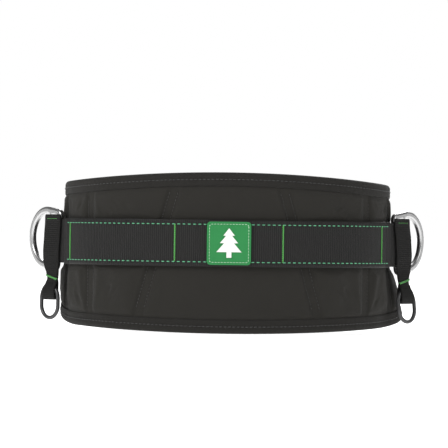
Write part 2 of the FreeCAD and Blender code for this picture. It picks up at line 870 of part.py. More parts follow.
def make_buckle_base():
    """Inner shell: a plate with two side rails that guide the tongue and hold the strap's pin."""
    half = dimension("housing_height") / 2
    start = dimension("housing_start")
    mouth = dimension("housing_mouth")
    back = 0 - dimension("base_inner")
    cover_start = dimension("cover_start")
    plate_outline = [
        (cover_start, 0 - half),
        (mouth - dimension("housing_corner"), 0 - half, dimension("housing_corner"), 1),
        (mouth, dimension("housing_corner") - half),
        (mouth, half - dimension("housing_corner"), dimension("housing_corner"), 1),
        (mouth - dimension("housing_corner"), half),
        (cover_start, half),
    ]
    body = front_plate("buckle_base", [plate_outline], back, dimension("base_thickness"))
    rails = face_at(body, "Rails", back)
    rail = dimension("rail_width")
    rail_end = mouth - dimension("housing_corner")
    corner = dimension("rail_corner")
    draw_outline(rails, rounded_box(start, rail_end, half - rail, half, corner))
    draw_outline(rails, rounded_box(start, rail_end, 0 - half, rail - half, corner))
    pad_sketch(body, rails, dimension("base_inner") + dimension("base_rail_top"), name="SideRails",
               reverse=True)
    document.recompute()
    pin_hole = new_sketch(body, "PinHole", "XY_Plane")
    draw_circle(pin_hole, dimension("strap_pin_place"), half - half,
                dimension("strap_pin_radius") + dimension("bore_clearance"))
    cut_sketch(body, pin_hole, "PinBore")
    rivet_holes(body)
    return on_buckle(body)


def rivet_places():
    """The four rivets stand in the side rails."""
    level = dimension("housing_height") / 2 - dimension("rivet_inset")
    for alias in ("rivet_place_a", "rivet_place_b"):
        for sign in (-1, 1):
            yield dimension(alias), sign * level


def rivet_holes(body):
    holes = new_sketch(body, "RivetHoles", "XZ_Plane")
    for across, level in rivet_places():
        draw_circle(holes, across, level, dimension("rivet_radius") + dimension("bore_clearance"))
    cut_sketch(body, holes, "RivetBores")


def make_strap_pin():
    body = new_body("strap_pin")
    section = new_sketch(body, "Section", "XY_Plane")
    draw_circle(section, dimension("strap_pin_place"), webbing_level - webbing_level,
                dimension("strap_pin_radius"))
    pad_sketch(body, section, dimension("housing_height") - dimension("strap_pin_recess") * 2,
               midplane=True)
    return on_buckle(body)


def make_buckle_cover():
    """Outer shell: a plate with two stepped holes for the buttons."""
    half = dimension("housing_height") / 2
    corner = dimension("housing_corner")
    outline = rounded_box(dimension("cover_start"), dimension("housing_mouth"), 0 - half, half, corner)
    inner = dimension("cover_inner")
    body = front_plate("buckle_cover", [outline], inner, dimension("cover_thickness"))
    holes = new_sketch(body, "ButtonHoles", "XZ_Plane")
    for sign in (-1, 1):
        draw_circle(holes, dimension("button_place"), sign * dimension("button_spread"),
                    dimension("button_hole_radius"))
    cut_sketch(body, holes, "ButtonBores")
    steps = face_at(body, "ButtonSteps", inner)
    for sign in (-1, 1):
        draw_circle(steps, dimension("button_place"), sign * dimension("button_spread"),
                    dimension("counterbore_radius"))
    cut_sketch(body, steps, "ButtonCounterbores", length=dimension("counterbore_depth"), midplane=False)
    rivet_holes(body)
    return on_buckle(body)


def make_rivets():
    """Four identical rivets in one node, with a flat head on each shell."""
    radius = dimension("rivet_radius").value
    head_radius = dimension("rivet_head_radius").value
    head = dimension("rivet_head").value
    back = -dimension("base_inner").value
    front = dimension("cover_inner").value + dimension("cover_thickness").value
    towards_front = FreeCAD.Vector(0, 1, 0)
    rivets = []
    for across, level in rivet_places():
        centre = FreeCAD.Vector(across.value, back, level.value)
        shank = Part.makeCylinder(radius, front - back, centre, towards_front)
        inner_head = Part.makeCylinder(head_radius, head, centre - towards_front * head, towards_front)
        outer_head = Part.makeCone(head_radius, radius, head, centre + towards_front * (front - back),
                                   towards_front)
        rivets.append(shank.multiFuse([inner_head, outer_head]).removeSplitter())
    group = document.addObject("Part::Feature", "buckle_rivets")
    group.Label = "buckle_rivets"
    group.Shape = Part.makeCompound(rivets)
    group.Placement = FreeCAD.Placement(
        FreeCAD.Vector(0, buckle_plane.value, webbing_level.value), FreeCAD.Rotation())
    return group


def make_button(sign):
    """A round button: a cap on a stem with a flange that the cover keeps in."""
    body = new_body("release_button_upper" if sign > 0 else "release_button_lower")
    radius = dimension("button_radius")
    flange = dimension("flange_radius")
    low = dimension("flange_bottom")
    step = low + dimension("flange_thickness")
    top = dimension("button_top")
    middle = radius - radius
    profile = new_sketch(body, "HalfSection", "XY_Plane")
    draw_outline(profile, [(middle, low), (flange, low), (flange, step), (radius, step),
                           (radius, top), (middle, top)])
    turned = body.newObject("PartDesign::Revolution", "Turned")
    turned.Profile = profile
    turned.ReferenceAxis = (profile, ["V_Axis"])
    turned.Angle = 360
    highest = top.value
    round_edges(body, turned, dimension("button_edge_fillet"),
                lambda edge: (edge.BoundBox.YMin > highest - LEAST_CUT
                              and edge.BoundBox.XLength > radius.value))
    on_buckle(body)
    bind(body, "Placement.Base.x", dimension("button_place"))
    bind(body, "Placement.Base.z", webbing_level + sign * dimension("button_spread"))
    return body


def make_spring(sign):
    """A bent leaf: a foot on the base, a rising blade and a catch that stands in the window."""
    body = new_body("latch_spring_upper" if sign > 0 else "latch_spring_lower")
    leaf = dimension("spring_thickness")
    floor = 0 - dimension("base_inner") + dimension("base_thickness") + dimension("spring_foot_gap")
    raised = floor + dimension("spring_lift")
    bevel = dimension("catch_bevel")
    profile = new_sketch(body, "Profile", "XY_Plane")
    draw_outline(profile, [
        (dimension("spring_foot_start"), floor),
        (dimension("spring_foot_end"), floor),
        (dimension("catch_start"), raised),
        (dimension("spring_end"), raised),
        (dimension("spring_end"), raised + leaf),
        (dimension("catch_end"), raised + leaf),
        (dimension("catch_end"), dimension("catch_top")),
        (dimension("catch_start") + bevel, dimension("catch_top")),
        (dimension("catch_start"), dimension("catch_top") - bevel),
        (dimension("catch_start"), raised + leaf),
        (dimension("spring_foot_end"), floor + leaf),
        (dimension("spring_foot_start"), floor + leaf),
    ])
    pad_sketch(body, profile, dimension("spring_width"), midplane=True)
    on_buckle(body)
    bind(body, "Placement.Base.z", webbing_level + sign * dimension("button_spread"))
    return body


def make_tongue():
    """The plate that the catches hold, widening into the frame of the length adjuster."""
    half = dimension("tongue_height") / 2
    wide = dimension("frame_height") / 2
    tip = dimension("tongue_tip")
    bevel = dimension("tongue_chamfer")
    corner = dimension("frame_corner")
    end = dimension("frame_end")
    start = dimension("frame_start")
    thickness = dimension("tongue_thickness")
    outline = [
        (tip, bevel - half), (tip + bevel, 0 - half), (start, 0 - half), (start, 0 - wide),
        (end - corner, 0 - wide, corner, 1), (end, corner - wide), (end, wide - corner, corner, 1),
        (end - corner, wide), (start, wide), (start, half), (tip + bevel, half), (tip, half - bevel),
    ]
    opening = dimension("frame_window_height") / 2
    window = box_outline(dimension("frame_window_start"), dimension("frame_window_end"),
                         0 - opening, opening)
    body = front_plate("buckle_tongue", [outline, window], 0 - thickness / 2, thickness)
    catches = new_sketch(body, "CatchWindows", "XZ_Plane")
    for sign in (-1, 1):
        draw_circle(catches, dimension("button_place"), sign * dimension("button_spread"),
                    dimension("window_radius"))
    cut_sketch(body, catches, "CatchBores")
    cheek_half = dimension("bar_radius") + dimension("cheek_wall")
    margin = dimension("cheek_margin")
    cheeks = face_at(body, "Cheeks", 0 - cheek_half)
    for sign in (-1, 1):
        low = sign * (opening + margin)
        high = sign * (wide - margin)
        if sign < 0:
            low, high = high, low
        draw_outline(cheeks, box_outline(dimension("frame_window_start"),
                                         dimension("frame_window_end"), low, high))
    pad_sketch(body, cheeks, cheek_half * 2, name="BarCheeks", reverse=True)
    document.recompute()
    slot = new_sketch(body, "BarSlots", "XY_Plane")
    reach = dimension("bar_radius") + dimension("bar_slot_clearance")
    first = dimension("bar_slot_start") + dimension("bar_radius") - reach
    last = first + reach * 2 + dimension("bar_slot_travel")
    draw_outline(slot, box_outline(first, last, 0 - reach, reach))
    cut_sketch(body, slot, "BarSlotCut",
               length=dimension("bar_height") + dimension("bar_end_clearance") * 2)
    return on_buckle(body)


def make_adjuster_bar():
    body = new_body("adjuster_bar")
    section = new_sketch(body, "Section", "XY_Plane")
    draw_circle(section, dimension("bar_slot_start") + dimension("bar_radius"),
                webbing_level - webbing_level, dimension("bar_radius"))
    pad_sketch(body, section, dimension("bar_height"), midplane=True)
    return on_buckle(body)


def arc_block(body, name, low, high, middle, spread):
    """A sketch of the stretch between two offsets of the side arc, to both sides of an angle."""
    plan = new_sketch(body, name, "XY_Plane")
    begin_low = side_point(low, middle - spread)
    begin_high = side_point(high, middle - spread)
    end_low = side_point(low, middle + spread)
    end_high = side_point(high, middle + spread)
    draw_outline(plan, [begin_low, (*begin_high, side_radius + high, 1), end_high,
                        (*end_low, side_radius + low, -1)])
    return plan


def make_keeper():
    """A loop round the strap and its tail, curved with the side arc it slides on."""
    body = new_body("strap_keeper")
    clearance = dimension("keeper_clearance")
    wall = dimension("keeper_thickness")
    cloth = dimension("front_strap_outer") - dimension("front_strap_inner")
    inner = dimension("front_strap_inner") - clearance
    outer = dimension("front_strap_outer") + dimension("tail_gap") + cloth + clearance
    half_angle = dimension("keeper_length") / side_radius * DEGREES_PER_RADIAN / 2
    middle = dimension("keeper_angle")
    height = dimension("webbing_width") + clearance * 2
    outside = arc_block(body, "Outside", inner - wall, outer + wall, middle, half_angle)
    block = pad_sketch(body, outside, height + wall * 2, name="Block", midplane=True)
    round_edges(body, block, dimension("keeper_edge_fillet"),
                lambda edge: isinstance(edge.Curve, Part.Circle))
    throat = arc_block(body, "Throat", inner, outer, middle, half_angle * 2)
    cut_sketch(body, throat, "ThroatCut", length=height)
    return raise_to_webbing(body)


# ---------------------------------------------------------------- build, check and write

pieces = make_pad()
pieces += [make_binding(), make_main_webbing(), make_tool_webbing(), make_patch()]
for hip in (-1, 1):
    pieces += [make_d_ring(hip), make_tab(hip), make_loop(hip), make_small_ring(hip)]
    pieces += [make_front_strap(hip), make_button(hip), make_spring(hip)]
pieces += [make_buckle_base(), make_buckle_cover(), make_rivets(), make_strap_pin()]
pieces += [make_tongue(), make_adjuster_bar(), make_keeper()]
document.recompute()

for item in document.Objects:
    if "Invalid" in item.State or "Error" in item.State:
        raise ValueError(f"{item.Label} failed: {item.State}")
for piece in pieces:
    if piece.Shape.isNull() or not piece.Shape.isValid():
        raise ValueError(f"{piece.Label} has no valid shape")

os.makedirs("parts", exist_ok=True)
for piece in pieces:
    piece.Shape.exportStep(f"parts/{piece.Label}.step")
    box = piece.Shape.BoundBox
    print(f"{piece.Label}: {len(piece.Shape.Solids)} solid, {piece.Shape.Volume / 1000:.2f} cm3, "
          f"x {box.XMin:.1f}..{box.XMax:.1f} y {box.YMin:.1f}..{box.YMax:.1f} "
          f"z {box.ZMin:.1f}..{box.ZMax:.1f}")
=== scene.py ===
import json
import math
from bisect import bisect_left
from itertools import accumulate, product

import bmesh
import bpy
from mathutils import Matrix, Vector, kdtree, noise


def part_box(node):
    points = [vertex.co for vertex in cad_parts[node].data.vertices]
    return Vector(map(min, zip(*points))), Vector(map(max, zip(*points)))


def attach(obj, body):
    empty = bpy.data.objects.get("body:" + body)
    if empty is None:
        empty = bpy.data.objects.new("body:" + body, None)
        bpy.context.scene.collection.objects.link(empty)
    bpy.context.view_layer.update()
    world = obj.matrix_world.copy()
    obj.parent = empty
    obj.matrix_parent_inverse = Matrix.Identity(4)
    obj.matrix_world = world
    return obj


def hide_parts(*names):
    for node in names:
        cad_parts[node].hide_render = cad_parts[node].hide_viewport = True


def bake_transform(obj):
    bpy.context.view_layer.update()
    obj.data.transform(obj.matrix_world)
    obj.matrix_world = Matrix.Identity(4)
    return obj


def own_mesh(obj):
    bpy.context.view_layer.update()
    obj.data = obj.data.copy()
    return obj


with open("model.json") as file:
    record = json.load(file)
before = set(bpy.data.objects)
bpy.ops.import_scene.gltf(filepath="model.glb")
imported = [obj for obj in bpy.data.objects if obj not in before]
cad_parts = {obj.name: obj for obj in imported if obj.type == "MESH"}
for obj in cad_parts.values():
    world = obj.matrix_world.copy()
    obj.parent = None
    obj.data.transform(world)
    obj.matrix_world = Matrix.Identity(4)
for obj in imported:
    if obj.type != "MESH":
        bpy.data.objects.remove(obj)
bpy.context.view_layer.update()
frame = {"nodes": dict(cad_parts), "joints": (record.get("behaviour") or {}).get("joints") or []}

MM = 0.001

# ---------------------------------------------------------------- the belt's shape, from the frame
shell_low, shell_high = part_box("pad_outer_shell")
rim_low, rim_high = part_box("pad_edge_binding")
web_low, web_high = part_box("main_webbing")
tool_low, tool_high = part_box("tool_webbing")

BACK_RADIUS = 225 * MM
SIDE_RADIUS = 111 * MM
JOIN_ANGLE = math.radians(31)
PAD_END_ANGLE = math.radians(118)
SIDE_X = shell_high[0] - SIDE_RADIUS
BACK_Y = (BACK_RADIUS - SIDE_RADIUS) * math.cos(JOIN_ANGLE)
BACK_RUN = BACK_RADIUS * JOIN_ANGLE
FRONT_RUN = BACK_RUN + SIDE_RADIUS * (math.pi - JOIN_ANGLE)
PAD_END = BACK_RUN + SIDE_RADIUS * (PAD_END_ANGLE - JOIN_ANGLE)
PAD_TOP = rim_high[2]
WEB_LEVEL = (web_low[2] + web_high[2]) / 2
WEB_HALF = (web_high[2] - web_low[2]) / 2
TOOL_HALF = (tool_high[2] - tool_low[2]) / 2

# outline of the pad: large arcs behind, a sweep and a rounded corner at each hip
TOP_RADIUS = 1500 * MM
BOTTOM_RADIUS = 2500 * MM
HIP_START = -62 * MM
HIP_TOP = 155 * MM
HIP_BOTTOM = 4.5 * MM
HIP_TOP_RADIUS = 600 * MM
HIP_BOTTOM_RADIUS = 230 * MM
PAD_CORNER = 24 * MM

# D-ring bars and the webbing that wraps them
BAR_ANGLE = math.radians(78)
BAR_DISTANCE = SIDE_RADIUS + 6 * MM
STRAP_DIRECTION = math.radians(48)
STRAP_LEAN = {-1: 0, 1: 6}
WRAP_RADIUS = 6.9 * MM
RISE_ANGLE = math.radians(47.5)
FALL_ANGLE = math.radians(140)

RIGHT_FLARE = 16 * MM
LEFT_FLARE = 4 * MM
STITCH_LENGTH = 3.0 * MM
STITCH_PITCH = 5.25 * MM
RIB_PITCH = 2.1 * MM


def smooth_step(low, high, value):
    share = min(max((value - low) / (high - low), 0), 1)
    return share * share * (3 - 2 * share)


def run_at(angle):
    """Distance along the pad's outer face, from the middle of the back to an angle of the side arc."""
    return BACK_RUN + SIDE_RADIUS * (angle - JOIN_ANGLE)


def angle_at(run):
    return JOIN_ANGLE + (abs(run) - BACK_RUN) / SIDE_RADIUS


def plan(run):
    """Point and outward direction of the belt's curve in plan, at a run from the middle of the back."""
    side = -1 if run < 0 else 1
    distance = abs(run)
    if distance <= BACK_RUN:
        angle = distance / BACK_RADIUS
        point = (BACK_RADIUS * math.sin(angle), BACK_Y - BACK_RADIUS * math.cos(angle))
    elif distance <= FRONT_RUN:
        angle = angle_at(distance)
        point = (SIDE_X + SIDE_RADIUS * math.sin(angle), -SIDE_RADIUS * math.cos(angle))
    else:
        angle = math.pi
        point = (SIDE_X - (distance - FRONT_RUN), SIDE_RADIUS)
    return (side * point[0], point[1]), (side * math.sin(angle), -math.cos(angle))


def flare(run, level):
    """How far the pad's lower half stands out below the webbing, more at the right hip than the left."""
    if level > web_low[2] or abs(run) < BACK_RUN:
        return 0
    round_hip = smooth_step(math.radians(64), math.radians(92), angle_at(run))
    fall = 1 - (max(level, 0) / web_low[2]) ** 2
    eased = smooth_step(0, 9 * MM, web_low[2] - level)
    return (RIGHT_FLARE if run > 0 else LEFT_FLARE) * round_hip * fall * eased


def on_belt(run, level, offset):
    """A point at a run round the belt, a level above its foot and an offset outside its outer face."""
    point, outward = plan(run)
    offset += flare(run, level)
    return Vector((point[0] + outward[0] * offset, point[1] + outward[1] * offset, level))


def arc_drop(radius, run):
    return radius - math.sqrt(radius * radius - run * run)


PAD_FRONT = -SIDE_RADIUS * math.cos(PAD_END_ANGLE)


def hip_edge(start_level, radius, direction, y):
    """Level of the pad's edge at the hip, at a distance y forward of the widest line."""
    corner_run = (PAD_FRONT - HIP_START - PAD_CORNER) / (1 - PAD_CORNER / radius)
    run = y - HIP_START
    if run <= 0:
        return start_level
    if run <= corner_run:
        return start_level + direction * arc_drop(radius, run)
    level = math.sqrt(radius * radius - corner_run * corner_run)
    rise = arc_drop(radius, corner_run) + PAD_CORNER * level / radius
    across = min(max(y - PAD_FRONT + PAD_CORNER, 0), PAD_CORNER)
    return start_level + direction * (rise - math.sqrt(PAD_CORNER ** 2 - across ** 2))


def pad_low(run):
    (x, y), _ = plan(run)
    level = arc_drop(BOTTOM_RADIUS, x)
    if y > HIP_START:
        level = max(level, hip_edge(HIP_BOTTOM, HIP_BOTTOM_RADIUS, 1, y))
    return level


def pad_high(run):
    (x, y), _ = plan(run)
    level = PAD_TOP - arc_drop(TOP_RADIUS, x)
    if y > HIP_START:
        level = min(level, hip_edge(HIP_TOP, HIP_TOP_RADIUS, -1, y))
    return level


def spread(low, high, step):
    """Evenly spaced values from low to high, about a step apart."""
    count = max(2, math.ceil((high - low) / step))
    return [low + (high - low) * index / count for index in range(count + 1)]


def hip_columns(end, step):
    """Runs across the pad, closer together at the rounded ends."""
    body = spread(-end + PAD_CORNER, end - PAD_CORNER, step)
    turns = [math.sin(math.pi / 2 * index / 12) * PAD_CORNER for index in range(1, 13)]
    right = [end - PAD_CORNER + turn for turn in turns]
    return [-run for run in reversed(right)] + body + right


# ---------------------------------------------------------------- mesh helpers

def add_object(name, vertices, faces, uvs=None, smooth=True):
    mesh = bpy.data.meshes.new(name)
    mesh.from_pydata([tuple(vertex) for vertex in vertices], [], faces)
    mesh.update()
    if uvs:
        layer = mesh.uv_layers.new(name="cloth")
        for loop in mesh.loops:
            layer.data[loop.index].uv = uvs[loop.vertex_index]
    for polygon in mesh.polygons:
        polygon.use_smooth = smooth
    piece = bpy.data.objects.new(name, mesh)
    bpy.context.scene.collection.objects.link(piece)
    return piece


def closed_sheet(name, columns, rows, outer, inner, place):
    """A closed sheet. columns are runs; rows are shares from 0 (foot) to 1 (top); outer and inner give
    the offset of each face; place turns (run, share, offset) into a point."""
    wide = len(columns)
    tall = len(rows)
    vertices = []
    uvs = []
    for face in (outer, inner):
        for run in columns:
            for share in rows:
                point = place(run, share, face(run, share))
                vertices.append(point)
                uvs.append((run, point[2]))
    faces = []
    second = wide * tall
    for i in range(wide - 1):
        for j in range(tall - 1):
            a = i * tall + j
            faces.append((a, a + tall, a + tall + 1, a + 1))
            faces.append((second + a, second + a + 1, second + a + tall + 1, second + a + tall))
    rim = [i * tall for i in range(wide)]
    rim += [(wide - 1) * tall + j for j in range(1, tall)]
    rim += [i * tall + tall - 1 for i in range(wide - 2, -1, -1)]
    rim += [j for j in range(tall - 2, 0, -1)]
    for index, here in enumerate(rim):
        following = rim[(index + 1) % len(rim)]
        faces.append((following, here, here + second, following + second))
    return add_object(name, vertices, faces, uvs)


def ring_faces(rings, size, start=0, closed=False):
    """Quads between neighbouring rings of points, the last ring joined to the first when closed."""
    faces = []
    for k in range(rings if closed else rings - 1):
        here = start + k * size
        following = start + (k + 1) % rings * size
        for index in range(size):
            after = (index + 1) % size
            faces.append((here + index, here + after, following + after, following + index))
    return faces


def capped_rings(rings, size, start=0):
    """A closed skin over a row of rings: quads between them, and one face at each end."""
    last = start + (rings - 1) * size
    ends = [tuple(reversed(range(start, start + size))), tuple(range(last, last + size))]
    return ring_faces(rings, size, start) + ends


THREAD_END = 0.35


def thread_object(name, paths, radius, sides=6):
    """Round threads swept along open paths, thinner where they dive into the cloth."""
    vertices = []
    faces = []
    for path in paths:
        start = len(vertices)
        across = (path[1] - path[0]).orthogonal()
        for index, point in enumerate(path):
            before = path[max(index - 1, 0)]
            after = path[min(index + 1, len(path) - 1)]
            along = (after - before).normalized()
            across = (across - along * across.dot(along)).normalized()
            other = along.cross(across)
            size = radius * (THREAD_END if index in (0, len(path) - 1) else 1)
            for side in range(sides):
                turn = 2 * math.pi * side / sides
                vertices.append(point + across * (size * math.cos(turn)) + other * (size * math.sin(turn)))
        faces += capped_rings(len(path), sides, start)
    return add_object(name, vertices, faces)


def stitch(surface, start, finish, lift=0.3 * MM, sink=0.35 * MM, steps=6):
    """One stitch between two surface places, arching over the cloth and diving in at both ends."""
    path = []
    for index in range(steps + 1):
        share = index / steps
        place = [a + (b - a) * share for a, b in zip(start, finish)]
        height = (lift + sink) * math.sin(math.pi * share) ** 0.5 - sink
        path.append(surface(place[0], place[1], height))
    return path


def distances(places):
    """How far each place is along its line."""
    return list(accumulate(map(math.dist, places, places[1:]), initial=0))


def measured(places):
    """The length of a line of places, and a function for the place at a distance along it."""
    reach = distances(places)

    def at(distance):
        index = min(max(bisect_left(reach, distance), 1), len(reach) - 1)
        gap = reach[index] - reach[index - 1]
        share = min((distance - reach[index - 1]) / gap, 1) if gap else 0
        return [a + (b - a) * share for a, b in zip(places[index - 1], places[index])]

    return reach[-1], at


def stitch_row(surface, places, length=STITCH_LENGTH, pitch=STITCH_PITCH, **heights):
    """Stitches along a line of (run, level) places, spaced by distance."""
    whole, at = measured(places)
    count = int((whole - length) / pitch) + 1
    spare = (whole - (count - 1) * pitch - length) / 2
    return [stitch(surface, at(spare + k * pitch), at(spare + k * pitch + length), **heights)
            for k in range(count)]


def tack_column(surface, run, low, high, width=1.5 * MM, rise=2.6 * MM, pitch=2.05 * MM):
    """A bar tack: slanting stitches one above the other, with the thread's return under each pair."""
    count = int((high - low - rise) / pitch) + 1
    paths = []
    for index in range(count):
        level = low + (high - low - rise) * index / (count - 1)
        wander = 0.25 * MM * noise.noise(Vector((run * 50, level * 900, 2.0)))
        paths.append(stitch(surface, (run - width / 2 + wander, level),
                            (run + width / 2 + wander, level + rise), lift=0.45 * MM))
        paths.append(stitch(surface, (run + width / 3, level + rise / 3),
                            (run - width / 3, level + rise), lift=0.1 * MM))
    return paths


# ---------------------------------------------------------------- materials

def new_material(name):
    material = bpy.data.materials.new(name)
    material.use_nodes = True
    return material, material.node_tree, material.node_tree.nodes["Principled BSDF"]


def node(tree, kind, **settings):
    item = tree.nodes.new(kind)
    for key, value in settings.items():
        if key in item.inputs:
            item.inputs[key].default_value = value
        else:
            setattr(item, key, value)
    return item


def math_node(tree, operation, *values):
    item = node(tree, "ShaderNodeMath", operation=operation)
    for socket, value in zip(item.inputs, values):
        if isinstance(value, (int, float)):
            socket.default_value = value
        else:
            tree.links.new(value, socket)
    return item.outputs[0]


def stretched(tree, source, scale):
    item = node(tree, "ShaderNodeMapping", Scale=scale)
    tree.links.new(source, item.inputs["Vector"])
    return item.outputs["Vector"]


def object_place(tree):
    return tree.nodes.new("ShaderNodeTexCoord").outputs["Object"]


def pattern(tree, kind, place, result="Fac", **settings):
    item = node(tree, kind, **settings)
    tree.links.new(place, item.inputs["Vector"])
    return item.outputs[result]


def noise_pattern(tree, place, scale, detail, roughness=0.5):
    return pattern(tree, "ShaderNodeTexNoise", place, Scale=scale, Detail=detail, Roughness=roughness)


def toned(colour, factor, lift=0):
    """A colour made lighter or darker, kept within what a surface can reflect."""
    return tuple(min(channel * factor + lift, 1) for channel in colour)


def mixed(tree, share, first, second):
    """The colour between two others, each a fixed colour or another node's output."""
    item = node(tree, "ShaderNodeMix", data_type="RGBA")
    tree.links.new(share, item.inputs["Factor"])
    for key, colour in (("A", first), ("B", second)):
        if isinstance(colour, tuple):
            item.inputs[key].default_value = (*colour, 1)
        else:
            tree.links.new(colour, item.inputs[key])
    return item.outputs["Result"]


def finish_surface(tree, shader, colour, height, strength, depth, **values):
    """Link a colour and a relief to the shader, and set its other inputs by name."""
    bump = node(tree, "ShaderNodeBump", Strength=strength, Distance=depth)
    tree.links.new(height, bump.inputs["Height"])
    tree.links.new(bump.outputs["Normal"], shader.inputs["Normal"])
    tree.links.new(colour, shader.inputs["Base Color"])
    for key, value in values.items():
        socket = shader.inputs[key.replace("_", " ")]
        if isinstance(value, (int, float)):
            socket.default_value = value
        else:
            tree.links.new(value, socket)


def cloth_coordinates(tree, scale_across, scale_up):
    """The cloth map in threads: X counts along the belt, Y up it."""
    source = node(tree, "ShaderNodeUVMap", uv_map="cloth").outputs["UV"]
    parts = tree.nodes.new("ShaderNodeSeparateXYZ")
    tree.links.new(stretched(tree, source, (scale_across, scale_up, 1)), parts.inputs["Vector"])
    return parts.outputs["X"], parts.outputs["Y"]


def waved(tree, operation, turns):
    return math_node(tree, operation, math_node(tree, "MULTIPLY", turns, 2 * math.pi))


def woven(name, colour, across, up, depth, roughness=0.85, sheen=0.25, shine=0.16, melange=0.25,
          twill=0.0, rib_across=None, rib_up=None, rib_valley_shade=0.0):
    """Plain or twill weave: warp and weft that pass over each other in turn, with fibre noise. Ribs of a
    given pitch have painted shade in the valleys between them: the colour is darkened there."""
    material, tree, shader = new_material(name)
    u, v = cloth_coordinates(tree, 1 / across, 1 / up)
    warp = waved(tree, "SINE", math_node(tree, "ADD", u, math_node(tree, "MULTIPLY", v, twill)))
    weft = waved(tree, "SINE", v)
    humps = math_node(tree, "ADD", math_node(tree, "ABSOLUTE", warp), math_node(tree, "ABSOLUTE", weft))
    crossing = math_node(tree, "MULTIPLY", warp, weft)
    weave = math_node(tree, "MULTIPLY", math_node(tree, "ADD", crossing, humps), 0.5)
    place = object_place(tree)
    fibre = noise_pattern(tree, place, 2600.0, 3.0, 0.7)
    patchy = noise_pattern(tree, place, 38.0, 4.0, 0.6)
    share = math_node(tree, "MULTIPLY", math_node(tree, "ADD", fibre, patchy), 0.35)
    share = math_node(tree, "MULTIPLY_ADD", weave, 0.22, share)
    shade = mixed(tree, share, toned(colour, 1 - melange), toned(colour, 1 + melange, 0.004))
    # painted shade: in the rib valleys the colour is darkened towards a tenth of itself, standing in for the
    # shade that falls there
    if rib_valley_shade:
        rib = (cloth_coordinates(tree, 1 / rib_across, 1)[0] if rib_across
               else cloth_coordinates(tree, 1, 1 / rib_up)[1])
        valley_shade = math_node(tree, "SUBTRACT", 1, waved(tree, "COSINE", rib))
        valley_shade = math_node(tree, "MULTIPLY", valley_shade, 0.5 * rib_valley_shade)
        shade = mixed(tree, valley_shade, shade, toned(colour, 0.1))
    finish_surface(tree, shader, shade, math_node(tree, "MULTIPLY_ADD", fibre, 0.7, weave), 0.9, depth,
                   Roughness=math_node(tree, "MULTIPLY_ADD", patchy, 0.16, roughness - 0.08),
                   Sheen_Weight=sheen, Sheen_Roughness=0.45, Specular_IOR_Level=shine)
    return material


def thread_material(name, colour):
    """Twisted polyester thread: fine slanting plies and a soft shine."""
    material, tree, shader = new_material(name)
    place = object_place(tree)
    plies = pattern(tree, "ShaderNodeTexWave", place, bands_direction="DIAGONAL", Scale=900.0,
                    Distortion=1.5, Detail=2.0)
    speckle = noise_pattern(tree, place, 700.0, 2.0)
    shade = mixed(tree, speckle, toned(colour, 0.7), toned(colour, 1.25))
    finish_surface(tree, shader, shade, plies, 0.6, 0.08 * MM, Roughness=0.5, Sheen_Weight=0.2)
    return material


def metal(name, colour, roughness=0.3, coated=False):
    """Satin metal: brushed grain, broad smudges and fine scratches."""
    material, tree, shader = new_material(name)
    place = object_place(tree)
    grain = stretched(tree, place, (30, 30, 900))
    brushed = noise_pattern(tree, grain, 4.0, 6.0, 0.7)
    smudge = noise_pattern(tree, place, 60.0, 4.0, 0.6)
    marks = pattern(tree, "ShaderNodeTexVoronoi", grain, "Distance", feature="DISTANCE_TO_EDGE", Scale=180.0)
    shade = mixed(tree, smudge, toned(colour, 0.88), toned(colour, 1.12))
    rough = math_node(tree, "MULTIPLY_ADD", math_node(tree, "ADD", brushed, smudge), 0.12, roughness - 0.1)
    scratched = math_node(tree, "MULTIPLY_ADD", marks, 0.5, brushed)
    finish_surface(tree, shader, shade, scratched, 0.35, 0.03 * MM, Roughness=rough,
                   Metallic=0.0 if coated else 1.0, Coat_Weight=0.25 if coated else 0.0,
                   Coat_Roughness=0.25)
    return material


def moulded(name, colour, roughness, grain=900.0):
    """Moulded plastic or foam with a fine spark-eroded grain."""
    material, tree, shader = new_material(name)
    pits = noise_pattern(tree, object_place(tree), grain, 4.0, 0.65)
    shade = mixed(tree, pits, toned(colour, 0.8), toned(colour, 1.2))
    finish_surface(tree, shader, shade, pits, 0.4, 0.05 * MM, Roughness=roughness)
    return material


SHELL_CLOTH = woven("shell_cloth", (0.0175, 0.0163, 0.0138), 1.1 * MM, 0.55 * MM, 0.14 * MM, sheen=0.06)
BINDING_CLOTH = woven("binding_cloth", (0.0138, 0.0129, 0.0113), 0.7 * MM, 0.7 * MM, 0.1 * MM, sheen=0.06)
LINING_CLOTH = woven("lining_cloth", (0.02, 0.02, 0.0205), 2.4 * MM, 2.4 * MM, 0.5 * MM, sheen=0.15,
                     twill=0.5)
WEBBING_CLOTH = woven("webbing_cloth", (0.013, 0.0125, 0.012), 1.0 * MM, 0.8 * MM, 0.2 * MM,
                      roughness=0.62, sheen=0.05, twill=0.5)
# painted shade: the tool webbing and the hanging strap cloth get darkened rib valleys in their colour
TOOL_CLOTH = woven("tool_cloth", (0.0115, 0.011, 0.0102), 0.5 * MM, 0.45 * MM, 0.08 * MM,
                   roughness=0.4, sheen=0.03, shine=0.22, rib_across=RIB_PITCH, rib_valley_shade=0.9)
STRAP_CLOTH = woven("strap_cloth", (0.0085, 0.0081, 0.0074), 0.7 * MM, 0.5 * MM, 0.1 * MM,
                    roughness=0.62, sheen=0.02, shine=0.13, rib_up=RIB_PITCH, rib_valley_shade=0.8)
PATCH_CLOTH = woven("patch_cloth", (0.022, 0.2, 0.055), 0.5 * MM, 0.5 * MM, 0.08 * MM,
                    roughness=0.6, sheen=0.1)
GLYPH_CLOTH = woven("glyph_cloth", (0.72, 0.74, 0.7), 0.45 * MM, 0.45 * MM, 0.06 * MM,
                    roughness=0.7, melange=0.06)
LIME_THREAD = thread_material("lime_thread", (0.07, 0.38, 0.06))
TEAL_THREAD = thread_material("teal_thread", (0.08, 0.38, 0.19))
